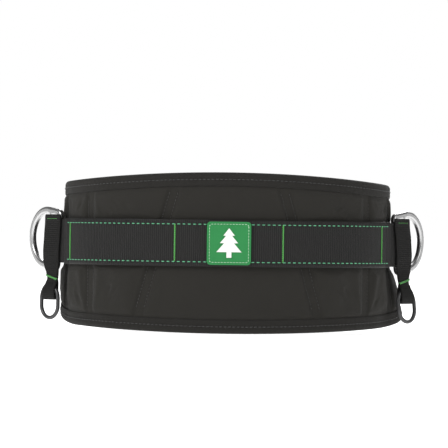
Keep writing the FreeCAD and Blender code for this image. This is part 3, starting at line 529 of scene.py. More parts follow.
PALE_THREAD = thread_material("pale_thread", (0.5, 0.7, 0.52))
BLACK_THREAD = thread_material("black_thread", (0.012, 0.012, 0.012))
ALUMINIUM = metal("satin_aluminium", (0.5, 0.5, 0.5))
DARK_ALUMINIUM = metal("dark_anodised", (0.09, 0.092, 0.097), roughness=0.36)
BUTTON_GREEN = metal("green_anodised", (0.05, 0.34, 0.1), roughness=0.33)
STEEL = metal("ground_steel", (0.55, 0.55, 0.56), roughness=0.25)
SPRING_BLUE = metal("blued_spring", (0.2, 0.22, 0.3))
RING_COAT = metal("dark_ring_coat", (0.022, 0.022, 0.023), roughness=0.42, coated=True)
FOAM_GREY = moulded("foam_grey", (0.14, 0.14, 0.15), 0.9, grain=500.0)
SHEET_GREY = moulded("stiffener_grey", (0.2, 0.2, 0.21), 0.45)
KEEPER_BLACK = moulded("keeper_black", (0.02, 0.02, 0.021), 0.48)


def dress(piece, material, body="root", nodes=()):
    """Give a piece its material, its body and the CAD nodes it stands for."""
    piece.data.materials.clear()
    piece.data.materials.append(material)
    if body:
        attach(piece, body)
    if nodes:
        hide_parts(*nodes)
    return piece


def paint_node(name, material):
    """Give a carried-over CAD node its finish."""
    item = frame["nodes"][name]
    if not item.material_slots:
        item.data.materials.append(material)
    for place in item.material_slots:
        place.material = material


# ---------------------------------------------------------------- the pad

EDGE_TAPE = 14 * MM
PANEL_START = 18.5 * MM
RIM_OUTSIDE = -2.6 * MM
RIM_INSIDE = -8.4 * MM
RIM_MIDDLE = (RIM_OUTSIDE + RIM_INSIDE) / 2
TAPE_HALF = (RIM_OUTSIDE - RIM_INSIDE) / 2 + 1.0 * MM
PANEL_SUNK = 0.9 * MM
CHANNEL_DEPTH = 2.0 * MM
CHANNEL_WALL = 2.4 * MM
CHANNEL_HALF = 6.0 * MM
CHANNEL_SLOPE = 0.3
SLANTED_CHANNEL = 99.5 * MM
UPRIGHT_CHANNELS = (155 * MM, 206 * MM)


def outline_points(step=1.5 * MM):
    """The pad's outline as (run, level) places, anticlockwise from the left foot."""
    columns = hip_columns(PAD_END, step)
    foot = [(run, pad_low(run)) for run in columns]
    head = [(run, pad_high(run)) for run in reversed(columns)]
    side = spread(pad_low(PAD_END), pad_high(PAD_END), step)[1:-1]
    right = [(PAD_END, level) for level in side]
    left = [(-PAD_END, level) for level in reversed(side)]
    return foot + right + head + left


OUTLINE = outline_points()
OUTLINE_TREE = kdtree.KDTree(len(OUTLINE))
for outline_index, outline_place in enumerate(OUTLINE):
    OUTLINE_TREE.insert((outline_place[0], outline_place[1], 0), outline_index)
OUTLINE_TREE.balance()


def edge_distance(run, level):
    return OUTLINE_TREE.find((run, level, 0))[2]


def slanted_channel(level):
    return SLANTED_CHANNEL - CHANNEL_SLOPE * level


def upright_channel(run):
    return lambda level: run


CHANNELS = [slanted_channel] + [upright_channel(run) for run in UPRIGHT_CHANNELS]


def into_channel(run, level):
    """How far inside the nearest channel between two panels a place is; negative outside it."""
    across = math.hypot(1, CHANNEL_SLOPE)
    gaps = [abs(abs(run) - slanted_channel(level)) / across]
    gaps += [abs(abs(run) - middle) for middle in UPRIGHT_CHANNELS]
    return CHANNEL_HALF - min(gaps)


def channel(run, level, edge):
    """Share of a channel's depth at a place: 0 on a panel and 1 on the channel's floor."""
    fade = smooth_step(EDGE_TAPE - 2 * MM, EDGE_TAPE + 1 * MM, edge)
    return fade * smooth_step(-CHANNEL_WALL / 2, CHANNEL_WALL / 2, into_channel(run, level))


def panel_shape(run, level, edge):
    """The sewn shape of the outer face before the filling swells it: flat rim, raised panels, channels."""
    raised = smooth_step(EDGE_TAPE - 1 * MM, PANEL_START, edge)
    face = (RIM_OUTSIDE - 0.6 * MM) * (1 - raised) - PANEL_SUNK * raised
    return face - CHANNEL_DEPTH * channel(run, level, edge) * raised


SWELL_FRAMES = 20


def swell_pad(columns, rows, place):
    """Cloth simulation of the outer fabric. The sewn lines and the rim are held, and the filling pushes the
    panels out. Returns how far each vertex moved outwards, by (column, row)."""
    vertices = []
    held = []
    for run in columns:
        for share in rows:
            point = place(run, share, 0)
            edge = edge_distance(run, point[2])
            vertices.append(place(run, share, panel_shape(run, point[2], edge)))
            held.append(edge < EDGE_TAPE + 2 * MM or into_channel(run, point[2]) > -CHANNEL_WALL / 2)
    tall = len(rows)
    faces = [(i * tall + j, (i + 1) * tall + j, (i + 1) * tall + j + 1, i * tall + j + 1)
             for i in range(len(columns) - 1) for j in range(tall - 1)]
    panel = add_object("swelling_panel", vertices, faces)
    group = panel.vertex_groups.new(name="held")
    group.add([index for index, fixed in enumerate(held) if fixed], 1.0, "REPLACE")
    cloth = panel.modifiers.new("Cloth", "CLOTH")
    settings = cloth.settings
    settings.quality = 4
    settings.mass = 0.25
    settings.use_pressure = True
    settings.uniform_pressure_force = 4.0
    settings.effector_weights.gravity = 0.0
    settings.tension_stiffness = 12
    settings.compression_stiffness = 12
    settings.shear_stiffness = 6
    settings.bending_stiffness = 0.6
    settings.vertex_group_mass = "held"
    cloth.collision_settings.use_self_collision = False
    cloth.point_cache.frame_start = 1
    cloth.point_cache.frame_end = SWELL_FRAMES
    scene = bpy.context.scene
    for step in range(1, SWELL_FRAMES + 1):
        scene.frame_set(step)
    evaluated = panel.evaluated_get(bpy.context.evaluated_depsgraph_get())
    moved = []
    for index, run in enumerate(run for run in columns for _ in rows):
        _, outward = plan(run)
        step = evaluated.data.vertices[index].co - vertices[index]
        moved.append(step[0] * outward[0] + step[1] * outward[1])
    scene.frame_set(1)
    bpy.data.objects.remove(panel)
    return moved


def pad_place(inset):
    """Place function for a layer of the pad whose outline is drawn in by an inset."""
    def place(run, share, offset):
        low = pad_low(run) + inset
        high = pad_high(run) - inset
        return on_belt(run, low + (high - low) * share, offset)
    return place


SWELL = 2.8 * MM
UNDER_WEBBING = -0.15 * MM


def make_shell():
    """Outer fabric of the pad, swollen by its filling and pressed flat under the webbing."""
    inset = 1.8 * MM
    end = PAD_END - inset
    columns = hip_columns(end, 1.7 * MM)
    rows = spread(0, 1, 1 / 84)
    place = pad_place(inset)
    moved = swell_pad(columns, rows, place)
    ranked = sorted(moved)
    most = max(ranked[int(len(ranked) * 0.97)], 0.1 * MM)
    lookup = {}
    for i, run in enumerate(columns):
        for j, share in enumerate(rows):
            lookup[run, share] = min(max(moved[i * len(rows) + j], 0), most * 1.3) / most

    def outer(run, share):
        level = place(run, share, 0)[2]
        edge = edge_distance(run, level)
        raised = smooth_step(EDGE_TAPE, PANEL_START + 2 * MM, edge)
        swollen = SWELL * lookup[run, share]
        crease = noise.noise(Vector((run * 34, level * 60, 3.1))) * 0.45 * MM
        crease += noise.noise(Vector((run * 95, level * 28, 7.7))) * 0.22 * MM
        face = panel_shape(run, level, edge) + swollen * raised + crease * raised
        across = abs(level - WEB_LEVEL) - TOOL_HALF
        pressed = 1 - smooth_step(0, 11 * MM, across)
        limit = UNDER_WEBBING - 0.6 * MM * pressed + 3 * MM * (1 - pressed)
        return min(face, limit)

    def inner(run, share):
        return outer(run, share) - 1.1 * MM

    shell = closed_sheet("pad_shell_cloth", columns, rows, outer, inner, place)
    return dress(shell, SHELL_CLOTH, nodes=("pad_outer_shell",))


def refine(piece, levels=1):
    """Apply one subdivision so that curved faces read as curved."""
    modifier = piece.modifiers.new("Refine", "SUBSURF")
    modifier.levels = levels
    modifier.render_levels = levels
    modifier.boundary_smooth = "PRESERVE_CORNERS"
    bpy.context.view_layer.objects.active = piece
    bpy.ops.object.select_all(action="DESELECT")
    piece.select_set(True)
    bpy.ops.object.modifier_apply(modifier=modifier.name)


def layer_face(outside, rim, edge_start):
    """Offset of a hidden or inner layer: thinner towards its edge."""
    def face(run, share, place):
        level = place(run, share, 0)[2]
        edge = edge_distance(run, level)
        raised = smooth_step(edge_start, edge_start + 9 * MM, edge)
        return rim + (outside - rim) * raised
    return face


def make_layer(name, inset, step, outside, inside, rim_outside, rim_inside, material, nodes):
    """One filling or backing layer of the pad, between two offsets that close up towards the rim."""
    place = pad_place(inset)
    columns = hip_columns(PAD_END - inset, step)
    rows = spread(0, 1, 1 / 34)
    start = max(inset, EDGE_TAPE - 2 * MM)
    outer_face = layer_face(outside, rim_outside, start)
    inner_face = layer_face(inside, rim_inside, start)
    piece = closed_sheet(name, columns, rows, lambda run, share: outer_face(run, share, place),
                         lambda run, share: inner_face(run, share, place), place)
    return dress(piece, material, nodes=nodes)


def make_lining():
    """Spacer mesh against the body, quilted in shallow upright cells."""
    inset = 1.8 * MM
    place = pad_place(inset)
    columns = hip_columns(PAD_END - inset, 2.4 * MM)
    rows = spread(0, 1, 1 / 60)

    def inner(run, share):
        level = place(run, share, 0)[2]
        edge = edge_distance(run, level)
        raised = smooth_step(EDGE_TAPE - 2 * MM, PANEL_START + 5 * MM, edge)
        line = abs((run / (62 * MM) + 0.5) % 1 - 0.5) * 62 * MM
        cross = abs(level - WEB_LEVEL + 4 * MM)
        quilt = math.exp(-(line / (3 * MM)) ** 2) + math.exp(-(cross / (3 * MM)) ** 2)
        puff = noise.noise(Vector((run * 30, level * 45, 1.3))) * 0.4 * MM
        depth = -13.2 * MM + min(quilt, 1) * 2.2 * MM - puff
        return RIM_INSIDE * (1 - raised) + depth * raised

    def outer(run, share):
        return inner(run, share) + 1.0 * MM

    piece = closed_sheet("pad_lining_mesh", columns, rows, outer, inner, place)
    refine(piece)
    return dress(piece, LINING_CLOTH, nodes=("pad_mesh_lining",))


def rim_frames(step=2.0 * MM):
    """Evenly spaced places on the outline with the direction that points into the pad."""
    whole, at = measured(OUTLINE + [OUTLINE[0]])
    count = int(whole / step)
    places = [at(whole * k / count) for k in range(count)]
    frames = []
    for k, here in enumerate(places):
        before = places[k - 2]
        after = places[(k + 2) % count]
        size = math.dist(before, after)
        inward = ((before[1] - after[1]) / size, (after[0] - before[0]) / size)
        frames.append((here, inward, whole * k / count))
    return frames


STITCH_LINE = 0.52


def tape_section():
    """Half-folded tape: (distance in from the edge, offset) round the outside, from leg to leg."""
    outside = RIM_MIDDLE + TAPE_HALF
    inside = RIM_MIDDLE - TAPE_HALF
    section = [(EDGE_TAPE, outside - 0.8 * MM), (EDGE_TAPE - 0.4 * MM, outside)]
    section += [(EDGE_TAPE * share, outside + 0.15 * MM) for share in (0.85, 0.68)]
    section += [(EDGE_TAPE * STITCH_LINE, outside - 0.2 * MM)]
    section += [(EDGE_TAPE * share, outside + 0.1 * MM) for share in (0.36, 0.26)]
    for step in range(7):
        turn = math.pi * step / 6
        section.append((TAPE_HALF * (1 - math.sin(turn)) * 0.9, RIM_MIDDLE + TAPE_HALF * math.cos(turn)))
    section += [(EDGE_TAPE * share, inside - 0.1 * MM) for share in (0.26, STITCH_LINE, 0.8)]
    section += [(EDGE_TAPE - 0.4 * MM, inside), (EDGE_TAPE, inside + 0.8 * MM)]
    return section


def make_binding():
    """Folded tape along the whole outline, slightly puckered by its stitches."""
    section = tape_section()
    ring = section + [(max(depth, 6 * MM), RIM_MIDDLE + (offset - RIM_MIDDLE) * 0.62)
                      for depth, offset in reversed(section)]
    frames = rim_frames()
    vertices = []
    uvs = []
    for (run, level), inward, distance in frames:
        pucker = 0.16 * MM * math.sin(2 * math.pi * distance / (STITCH_PITCH * 1.15))
        pucker += noise.noise(Vector((run * 55, level * 55, 5.0))) * 0.35 * MM
        for index, (depth, offset) in enumerate(ring):
            lift = pucker if index < len(section) and depth > 3 * MM else 0
            sign = 1 if offset > RIM_MIDDLE else -1
            vertices.append(on_belt(run + inward[0] * depth, level + inward[1] * depth,
                                    offset + sign * lift))
            uvs.append((distance, depth * sign))
    faces = ring_faces(len(frames), len(ring), closed=True)
    piece = add_object("pad_binding_tape", vertices, faces, uvs)
    refine(piece)
    return dress(piece, BINDING_CLOTH, nodes=("pad_edge_binding",))


def make_binding_stitches():
    """A row of dark stitches through the tape on both faces."""
    depth = EDGE_TAPE * STITCH_LINE
    line = [(run + inward[0] * depth, level + inward[1] * depth)
            for (run, level), inward, _ in rim_frames()[::2]]
    paths = []
    for side in (1, -1):
        def surface(run, level, height):
            return on_belt(run, level, RIM_MIDDLE + side * (TAPE_HALF + height))

        paths += stitch_row(surface, line + [line[0]], length=3.0 * MM, pitch=4.4 * MM)
    piece = thread_object("pad_binding_stitches", paths, 0.45 * MM)
    return dress(piece, BLACK_THREAD)


def make_seam_stitches():
    """Dark stitches down both sides of each channel's floor."""
    paths = []

    def surface(run, level, height):
        return on_belt(run, level, height - PANEL_SUNK - CHANNEL_DEPTH)

    from_middle = CHANNEL_HALF - 1.6 * MM
    below = spread(20 * MM, WEB_LEVEL - TOOL_HALF, 4 * MM)
    above = spread(WEB_LEVEL + TOOL_HALF, 142 * MM, 4 * MM)
    lines = (-from_middle, from_middle)
    for side, line, channel_run, levels in product((-1, 1), lines, CHANNELS, (below, above)):
        places = [(side * (channel_run(level) + line), level) for level in levels]
        places = [place for place in places if edge_distance(*place) > PANEL_START]
        paths += stitch_row(surface, places, length=2.6 * MM, pitch=3.6 * MM)
    piece = thread_object("pad_seam_stitches", paths, 0.26 * MM, sides=5)
    return dress(piece, BLACK_THREAD)


# ---------------------------------------------------------------- webbing

WEBBING_END = math.radians(104)
WEBBING_THICK = 2.1 * MM


def bar_wrap(angle):
    """Distance from the side arc's centre of webbing that wraps a D-ring's bar, at a polar angle."""
    def leaves(normal):
        """Polar angle of the place where the webbing leaves the bar, facing a direction."""
        across = BAR_DISTANCE * math.sin(BAR_ANGLE) + WRAP_RADIUS * math.sin(normal)
        along = BAR_DISTANCE * math.cos(BAR_ANGLE) + WRAP_RADIUS * math.cos(normal)
        return math.atan2(across, along)

    def straight(normal):
        return (BAR_DISTANCE * math.cos(BAR_ANGLE - normal) + WRAP_RADIUS) / math.cos(angle - normal)

    if angle < leaves(RISE_ANGLE):
        return straight(RISE_ANGLE)
    if angle > leaves(FALL_ANGLE):
        return straight(FALL_ANGLE)
    turned = angle - BAR_ANGLE
    bulge = math.sqrt(WRAP_RADIUS ** 2 - (BAR_DISTANCE * math.sin(turned)) ** 2)
    return BAR_DISTANCE * math.cos(turned) + bulge


def webbing_middle(run):
    """Offset of the middle of the main webbing: on the pad, and over each D-ring's bar."""
    flat = 1.25 * MM
    angle = angle_at(run)
    if angle < math.radians(52) or angle > WEBBING_END:
        return flat
    return max(flat, bar_wrap(angle) - SIDE_RADIUS)


SELVEDGE = 1.6 * MM
FLAT_RIB_PITCH = 2.7 * MM
FLAT_RIB_HEIGHT = 0.12 * MM


def wave(place, pitch):
    """A rib's height at a place, from 0 in the valleys to 1 on the crests."""
    return 0.5 + 0.5 * math.cos(2 * math.pi * place / pitch)


def strap_rows(count):
    """Shares across a strap, closer together at its selvedges."""
    return [0.5 - 0.5 * math.cos(math.pi * k / count) for k in range(count + 1)]


def selvedge(share, half_width):
    """Distance from the nearer selvedge, and the share of the full thickness there."""
    depth = min(share, 1 - share) * 2 * half_width
    rounded = math.sqrt(max(0, 1 - (1 - min(depth / SELVEDGE, 1)) ** 2))
    return depth, min(1, 0.45 + 0.55 * rounded)


def flat_strap(name, runs, middle, half_width, thickness, rib_pitch, rib_height, rows=18):
    """A strap on edge that follows the belt: flat faces, rounded selvedges and ribs across it."""
    def place(run, share, offset):
        return on_belt(run, WEB_LEVEL + (share * 2 - 1) * half_width, offset)

    def face(side):
        def offset(run, share):
            depth, plump = selvedge(share, half_width)
            rib = rib_height * (wave(run, rib_pitch) * smooth_step(0, SELVEDGE * 1.6, depth) - 1)
            return middle(run) + side * (thickness / 2 * plump + rib)
        return offset

    return closed_sheet(name, runs, strap_rows(rows), face(1), face(-1), place)


def make_main_webbing():
    end = run_at(WEBBING_END)
    piece = flat_strap("main_webbing_cloth", spread(-end, end, 0.9 * MM), webbing_middle, WEB_HALF,
                       WEBBING_THICK, FLAT_RIB_PITCH, FLAT_RIB_HEIGHT)
    return dress(piece, WEBBING_CLOTH, nodes=("main_webbing",))


TOOL_END = run_at(math.radians(67))
INNER_TACK = 53.8 * MM
OUTER_TACKS = {-1: run_at(math.radians(62.5)), 1: run_at(math.radians(58.4))}


def tool_middle(run):
    """Offset of the middle of the tool webbing: tight at the tacks, standing off a little between them."""
    outer_tack = OUTER_TACKS[-1 if run < 0 else 1]
    share = (abs(run) - INNER_TACK) / (outer_tack - INNER_TACK)
    slack = 0.9 * MM * math.sin(math.pi * min(max(share, 0), 1)) ** 2
    return webbing_middle(run) + 2.15 * MM + slack


def tool_surface(run, level, height):
    return on_belt(run, level, tool_middle(run) + 0.85 * MM + height)


ROW_HALF = 18.8 * MM


def make_tool_webbing():
    runs = spread(-TOOL_END, TOOL_END, RIB_PITCH / 5)
    piece = flat_strap("tool_webbing_cloth", runs, tool_middle, TOOL_HALF, 1.8 * MM, RIB_PITCH, 0.38 * MM,
                       rows=22)
    return dress(piece, TOOL_CLOTH, nodes=("tool_webbing",))


def make_tool_stitches():
    """Two rows of pale green stitches along the tool webbing and four upright bar tacks."""
    rows = []
    for side in (-1, 1):
        level = WEB_LEVEL + side * ROW_HALF
        places = [(run, level) for run in spread(-TOOL_END + 1 * MM, TOOL_END - 1 * MM, 3 * MM)]
        rows += stitch_row(tool_surface, places)
    teal = thread_object("tool_webbing_rows", rows, 0.47 * MM)
    dress(teal, TEAL_THREAD)
    tacks = []
    for side in (-1, 1):
        for tack in (INNER_TACK, OUTER_TACKS[side]):
            tacks += tack_column(tool_surface, side * tack, WEB_LEVEL - ROW_HALF, WEB_LEVEL + ROW_HALF)
    lime = thread_object("tool_webbing_tacks", tacks, 0.36 * MM)
    dress(lime, LIME_THREAD)


# ---------------------------------------------------------------- patch

PATCH_HALF = 21.7 * MM
PATCH_CORNER = 3.8 * MM
PATCH_FACE = 6.1 * MM


def rounded_square(half, corner, steps=6):
    points = []
    for quarter in range(4):
        centre = quarter * math.pi / 2 + math.pi / 4
        sign_x = 1 if math.cos(centre) > 0 else -1
        sign_z = 1 if math.sin(centre) > 0 else -1
        for step in range(steps + 1):
            turn = quarter * math.pi / 2 + math.pi / 2 * step / steps
            points.append((sign_x * (half - corner) + corner * math.cos(turn),
                           sign_z * (half - corner) + corner * math.sin(turn)))
    return points


def make_patch():
    """Green square with a rounded, slightly raised edge."""
    # millimetres in from the edge and out from the belt, from the foot of the border to the middle
    section = ((0.15, 4.6), (0, 5.2), (0.2, 6.05), (0.7, 6.35), (1.5, 6.3), (2.2, 6.05),
               (6, 6.1), (12, 6.15), (18, 6.15))
    vertices = []
    uvs = []
    for shrink, offset in section:
        corner = max(PATCH_CORNER - shrink * MM, 0.8 * MM)
        for x, z in rounded_square(PATCH_HALF - shrink * MM, corner):
            vertices.append(on_belt(x, WEB_LEVEL + z, offset * MM))
            uvs.append((x, z))
    faces = capped_rings(len(section), len(vertices) // len(section))
    piece = add_object("badge_patch_cloth", vertices, faces, uvs)
    dress(piece, PATCH_CLOTH, nodes=("badge_patch",))
    ring = rounded_square(PATCH_HALF - 2.6 * MM, 2.2 * MM)

    def surface(x, z, height):
        return on_belt(x, WEB_LEVEL + z, PATCH_FACE + height)

    row = stitch_row(surface, ring + [ring[0]], length=1.7 * MM, pitch=3.0 * MM, lift=0.25 * MM)
    dress(thread_object("badge_patch_stitches", row, 0.3 * MM), PALE_THREAD)


def make_glyph():
    """A plain fir tree, cut from pale cloth: three stacked skirts and a trunk."""
    half = [(0, 15.2), (5.6, 7.7), (3.0, 7.5), (8.8, 0.2), (4.9, 0.0), (12.2, -8.8), (2.4, -8.8),
            (2.4, -14.4)]
    outline = half + [(-x, z) for x, z in reversed(half[1:])]
    mesh = bmesh.new()
    face = mesh.faces.new([mesh.verts.new((x * MM, z * MM, 0)) for x, z in outline])
    bmesh.ops.triangulate(mesh, faces=[face])
    bmesh.ops.subdivide_edges(mesh, edges=mesh.edges, cuts=3, use_grid_fill=True)
    mesh.verts.index_update()
    flat = [tuple(vertex.co.xy) for vertex in mesh.verts]
    cells = [tuple(vertex.index for vertex in cell.verts) for cell in mesh.faces]
    border = [edge.link_loops[0] for edge in mesh.edges if edge.is_boundary]
    border = [(loop.vert.index, loop.link_loop_next.vert.index) for loop in border]
    mesh.free()
    count = len(flat)
    vertices = [on_belt(x, WEB_LEVEL + z, offset) for offset in (6.95 * MM, 6.0 * MM) for x, z in flat]
    faces = cells + [tuple(index + count for index in reversed(cell)) for cell in cells]
    faces += [(after, here, here + count, after + count) for here, after in border]
    piece = add_object("badge_glyph", vertices, faces, flat * 2, smooth=False)
    return dress(piece, GLYPH_CLOTH)


# ---------------------------------------------------------------- hanging straps

def joint_place(name):
    return next(Vector(joint["pos_m"]) for joint in frame["joints"] if joint["name"] == name)


def strap_frame(side):
    """The hanging strap's pivot, the direction across the strap and the way it faces."""
    name = "left" if side < 0 else "right"
    pivot = joint_place(f"accessory_loop_{name}_swing")
    across = Vector((side * math.cos(STRAP_DIRECTION), math.sin(STRAP_DIRECTION), 0))
    facing = Vector((side * math.sin(STRAP_DIRECTION), -math.cos(STRAP_DIRECTION), 0))
    return pivot, across, facing


def strap_point(side, drop, shift, out):
    """A place on the hanging strap: a drop below its pivot, a shift along its width and a distance out of
    its plane. Below the pivot the plane leans with the eye and its ring."""
    pivot, across, facing = strap_frame(side)
    lean = math.radians(STRAP_LEAN[side]) if drop > 0 else 0
    down = Vector((0, 0, -1)) * math.cos(lean) + facing * math.sin(lean)
    return pivot + across * shift + down * drop + facing * out


# drop below the pivot, half width, half thickness, shift along the width (left, right), distance out
STRAP_STATIONS = (
    (-52.0, 11.6, 1.5, -3.9, -4.2, 0.0),
    (-50.0, 12.3, 1.6, -3.9, -4.2, 0.1),
    (-44.0, 12.4, 1.1, -3.6, -3.6, 0.1),
    (-30.0, 12.5, 1.0, -2.8, -1.6, 0.5),
    (-14.0, 12.5, 1.0, -1.7, -0.4, 0.7),
    (-4.0, 12.2, 1.0, -1.7, -0.6, 0.5),
    (2.0, 11.2, 1.2, -2.6, -1.2, 0.3),
    (8.0, 9.2, 1.7, -4.0, -2.2, 0.2),
    (12.5, 7.9, 2.0, -4.6, -2.5, 0.2),
    (15.0, 7.8, 2.0, -4.3, -2.1, 0.2),
    (18.5, 8.8, 2.6, -3.2, -1.4, 0.3),
)
STRAP_RIB = 0.22 * MM
EYE_RIB = 0.2 * MM


def strap_shift(side, station):
    return STRAP_STATIONS[station][3 if side < 0 else 4] * MM


def make_hanging_strap(side):
    """One strap from the tab to the eye round the small ring, sewn narrow at the neck."""
    name = "left" if side < 0 else "right"
    around = 32
    stations = [[value * MM for value in station] for station in STRAP_STATIONS]
    dense = []
    for before, after in zip(stations, stations[1:]):
        steps = max(2, round((after[0] - before[0]) / (RIB_PITCH / 6)))
        for k in range(steps):
            share = smooth_step(0, 1, k / steps) * 0.4 + k / steps * 0.6
            row = [a + (b - a) * share for a, b in zip(before, after)]
            row[0] = before[0] + (after[0] - before[0]) * k / steps
            dense.append(row)
    dense.append(stations[-1])
    vertices = []
    uvs = []
    for drop, width, thick, shift_left, shift_right, out in dense:
        shift = shift_left if side < 0 else shift_right
        rib = STRAP_RIB * (wave(drop, RIB_PITCH) - 1)
        for k in range(around):
            turn = 2 * math.pi * k / around
            # a rounded oblong: nearly flat faces and full edges
            flat = math.copysign(abs(math.cos(turn)) ** 0.3, math.cos(turn))
            plump = math.copysign(abs(math.sin(turn)) ** 0.6, math.sin(turn))
            vertices.append(strap_point(side, drop, shift + width * flat, out + (thick + rib) * plump))
            uvs.append((width * flat, drop))
    faces = capped_rings(len(dense), around)
    if side > 0:
        faces = [face[::-1] for face in faces]
    piece = add_object(f"accessory_strap_{name}", vertices, faces, uvs)
    join_pieces(piece, make_strap_eye(side))
    dress(piece, STRAP_CLOTH, body=None,
          nodes=(f"accessory_tab_{name}", f"accessory_loop_{name}"))
    tuple(strap_point(side, -6 * MM, 0, 0))
    tuple(strap_point(side, 6 * MM, 0, 0))
    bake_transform(piece)
    return piece


def join_pieces(first, second):
    bpy.ops.object.select_all(action="DESELECT")
    first.select_set(True)
    second.select_set(True)
    bpy.context.view_layer.objects.active = first
    bpy.ops.object.join()


def make_strap_eye(side):
    """The open eye below the neck: two plies that part, pass round the ring and meet in a fold."""
    name = "left" if side < 0 else "right"
    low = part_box(f"accessory_loop_{name}")[0]
    pivot = strap_frame(side)[0]
    start = 15 * MM
    height = (pivot.z - low[2]) / math.cos(math.radians(STRAP_LEAN[side])) - start
    steps = 72
    across = spread(-1, 1, 1 / 7)
    ring = [(-1, place) for place in across] + [(1, place) for place in reversed(across)]
    half_thickness = 0.85 * MM
    neck_shift = strap_shift(side, -2)
    path = []
    for k in range(steps + 1):
        turn = math.pi * (k / steps * 2 - 1)
        down = (1 + math.cos(turn)) / 2
        # a drop shape: narrow at the neck, round at the fold
        width = -3.9 * MM * math.sin(turn) * (0.35 + 0.65 * down)
        path.append((start + height * down, width, down))
    reach = 0
    vertices = []
    uvs = []
    for k, (drop, out, down) in enumerate(path):
        before = path[max(k - 1, 0)]
        after = path[min(k + 1, steps)]
        along = Vector((after[1] - before[1], after[0] - before[0])).normalized()
        reach += math.dist(path[k][:2], before[:2])
        half = (7.9 + 2.5 * smooth_step(0, 0.7, down)) * MM
        shift = neck_shift * (1 - smooth_step(0, 0.6, down))
        rib = EYE_RIB * (wave(reach, RIB_PITCH) - 1)
        for ply, place in ring:
            edge = 0.55 + 0.45 * math.sqrt(max(0, 1 - abs(place) ** 6))
            lift = ply * (half_thickness + rib) * edge
            level = drop - along[0] * lift
            vertices.append(strap_point(side, level, shift + half * place, out + along[1] * lift))
            uvs.append((half * place, reach))
    return add_object(f"strap_eye_{name}", vertices, capped_rings(steps + 1, len(ring)), uvs)


def make_strap_stitches(side):
    """Green bar tack at the neck and a short row at the top of the tab."""
    name = "left" if side < 0 else "right"
    neck_shift = strap_shift(side, -3)
    path = []
    count = 24
    for k in range(count + 1):
        place = k / count * 2 - 1
        drop = 12.6 * MM - 1.9 * MM * place + (0.8 if k % 2 else -0.8) * MM
        path.append(strap_point(side, drop, neck_shift + place * 8.0 * MM, 2.3 * MM))
    path.append(strap_point(side, 11 * MM, neck_shift + 8.4 * MM, 0))
    path.insert(0, strap_point(side, 14.5 * MM, neck_shift - 8.4 * MM, 0))
    tack = thread_object(f"accessory_neck_tack_{name}", [path], 0.42 * MM)
    dress(tack, LIME_THREAD, body=f"accessory_loop_{name}")
    top_shift = strap_shift(side, 2)

    def tab(shift, drop, height):
        return strap_point(side, drop, shift, 1.2 * MM + height)

    places = [(top_shift + shift, -47.6 * MM) for shift in spread(-9 * MM, 9 * MM, 2 * MM)]
    row = stitch_row(tab, places, length=2.2 * MM, pitch=3.2 * MM)
    dress(thread_object(f"accessory_tab_row_{name}", row, 0.26 * MM), LIME_THREAD)


# ---------------------------------------------------------------- front straps

FRONT_MIDDLE = 2.6 * MM


def strap_along(name, path):
    """A length of the load webbing on edge that follows a plan path of (x, y) places."""
    dense = []
    for before, after in zip(path, path[1:]):
        steps = max(1, int((after - before).length / (0.9 * MM)))
        dense += [before.lerp(after, k / steps) for k in range(steps)]
    dense.append(path[-1])
    reach = distances(dense)

    def place(index, share, offset):
        before = dense[max(index - 2, 0)]
        after = dense[min(index + 2, len(dense) - 1)]
        along = (after - before).normalized()
        point = dense[index] + Vector((along.y, -along.x)) * offset
        return Vector((point.x, point.y, WEB_LEVEL + (share * 2 - 1) * WEB_HALF))

    def face(side):
        def offset(index, share):
            plump = selvedge(share, WEB_HALF)[1]
            rib = FLAT_RIB_HEIGHT * (wave(reach[index], FLAT_RIB_PITCH) - 1)
            return side * (WEBBING_THICK / 2 * plump + rib)
        return offset

    piece = closed_sheet(name, list(range(len(dense))), strap_rows(16), face(1), face(-1), place)
    for corner in piece.data.uv_layers["cloth"].data:
        index, level = corner.uv
        corner.uv = (reach[round(index)], level)
    return piece


def belt_path(start, finish, offset, step=2 * MM):
    points = []
    for run in spread(min(start, finish), max(start, finish), step):
        point = on_belt(run, WEB_LEVEL, offset)
        points.append(Vector((point.x, point.y)))
    return points if start < finish else points[::-1]


def arc_points(centre, radius, start, finish, steps=18):
    return [Vector((centre[0] + radius * math.cos(start + (finish - start) * k / steps),
                    centre[1] + radius * math.sin(start + (finish - start) * k / steps)))
            for k in range(steps + 1)]


def plan_middle(node_name):
    low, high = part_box(node_name)
    return (low[0] + high[0]) / 2, (low[1] + high[1]) / 2


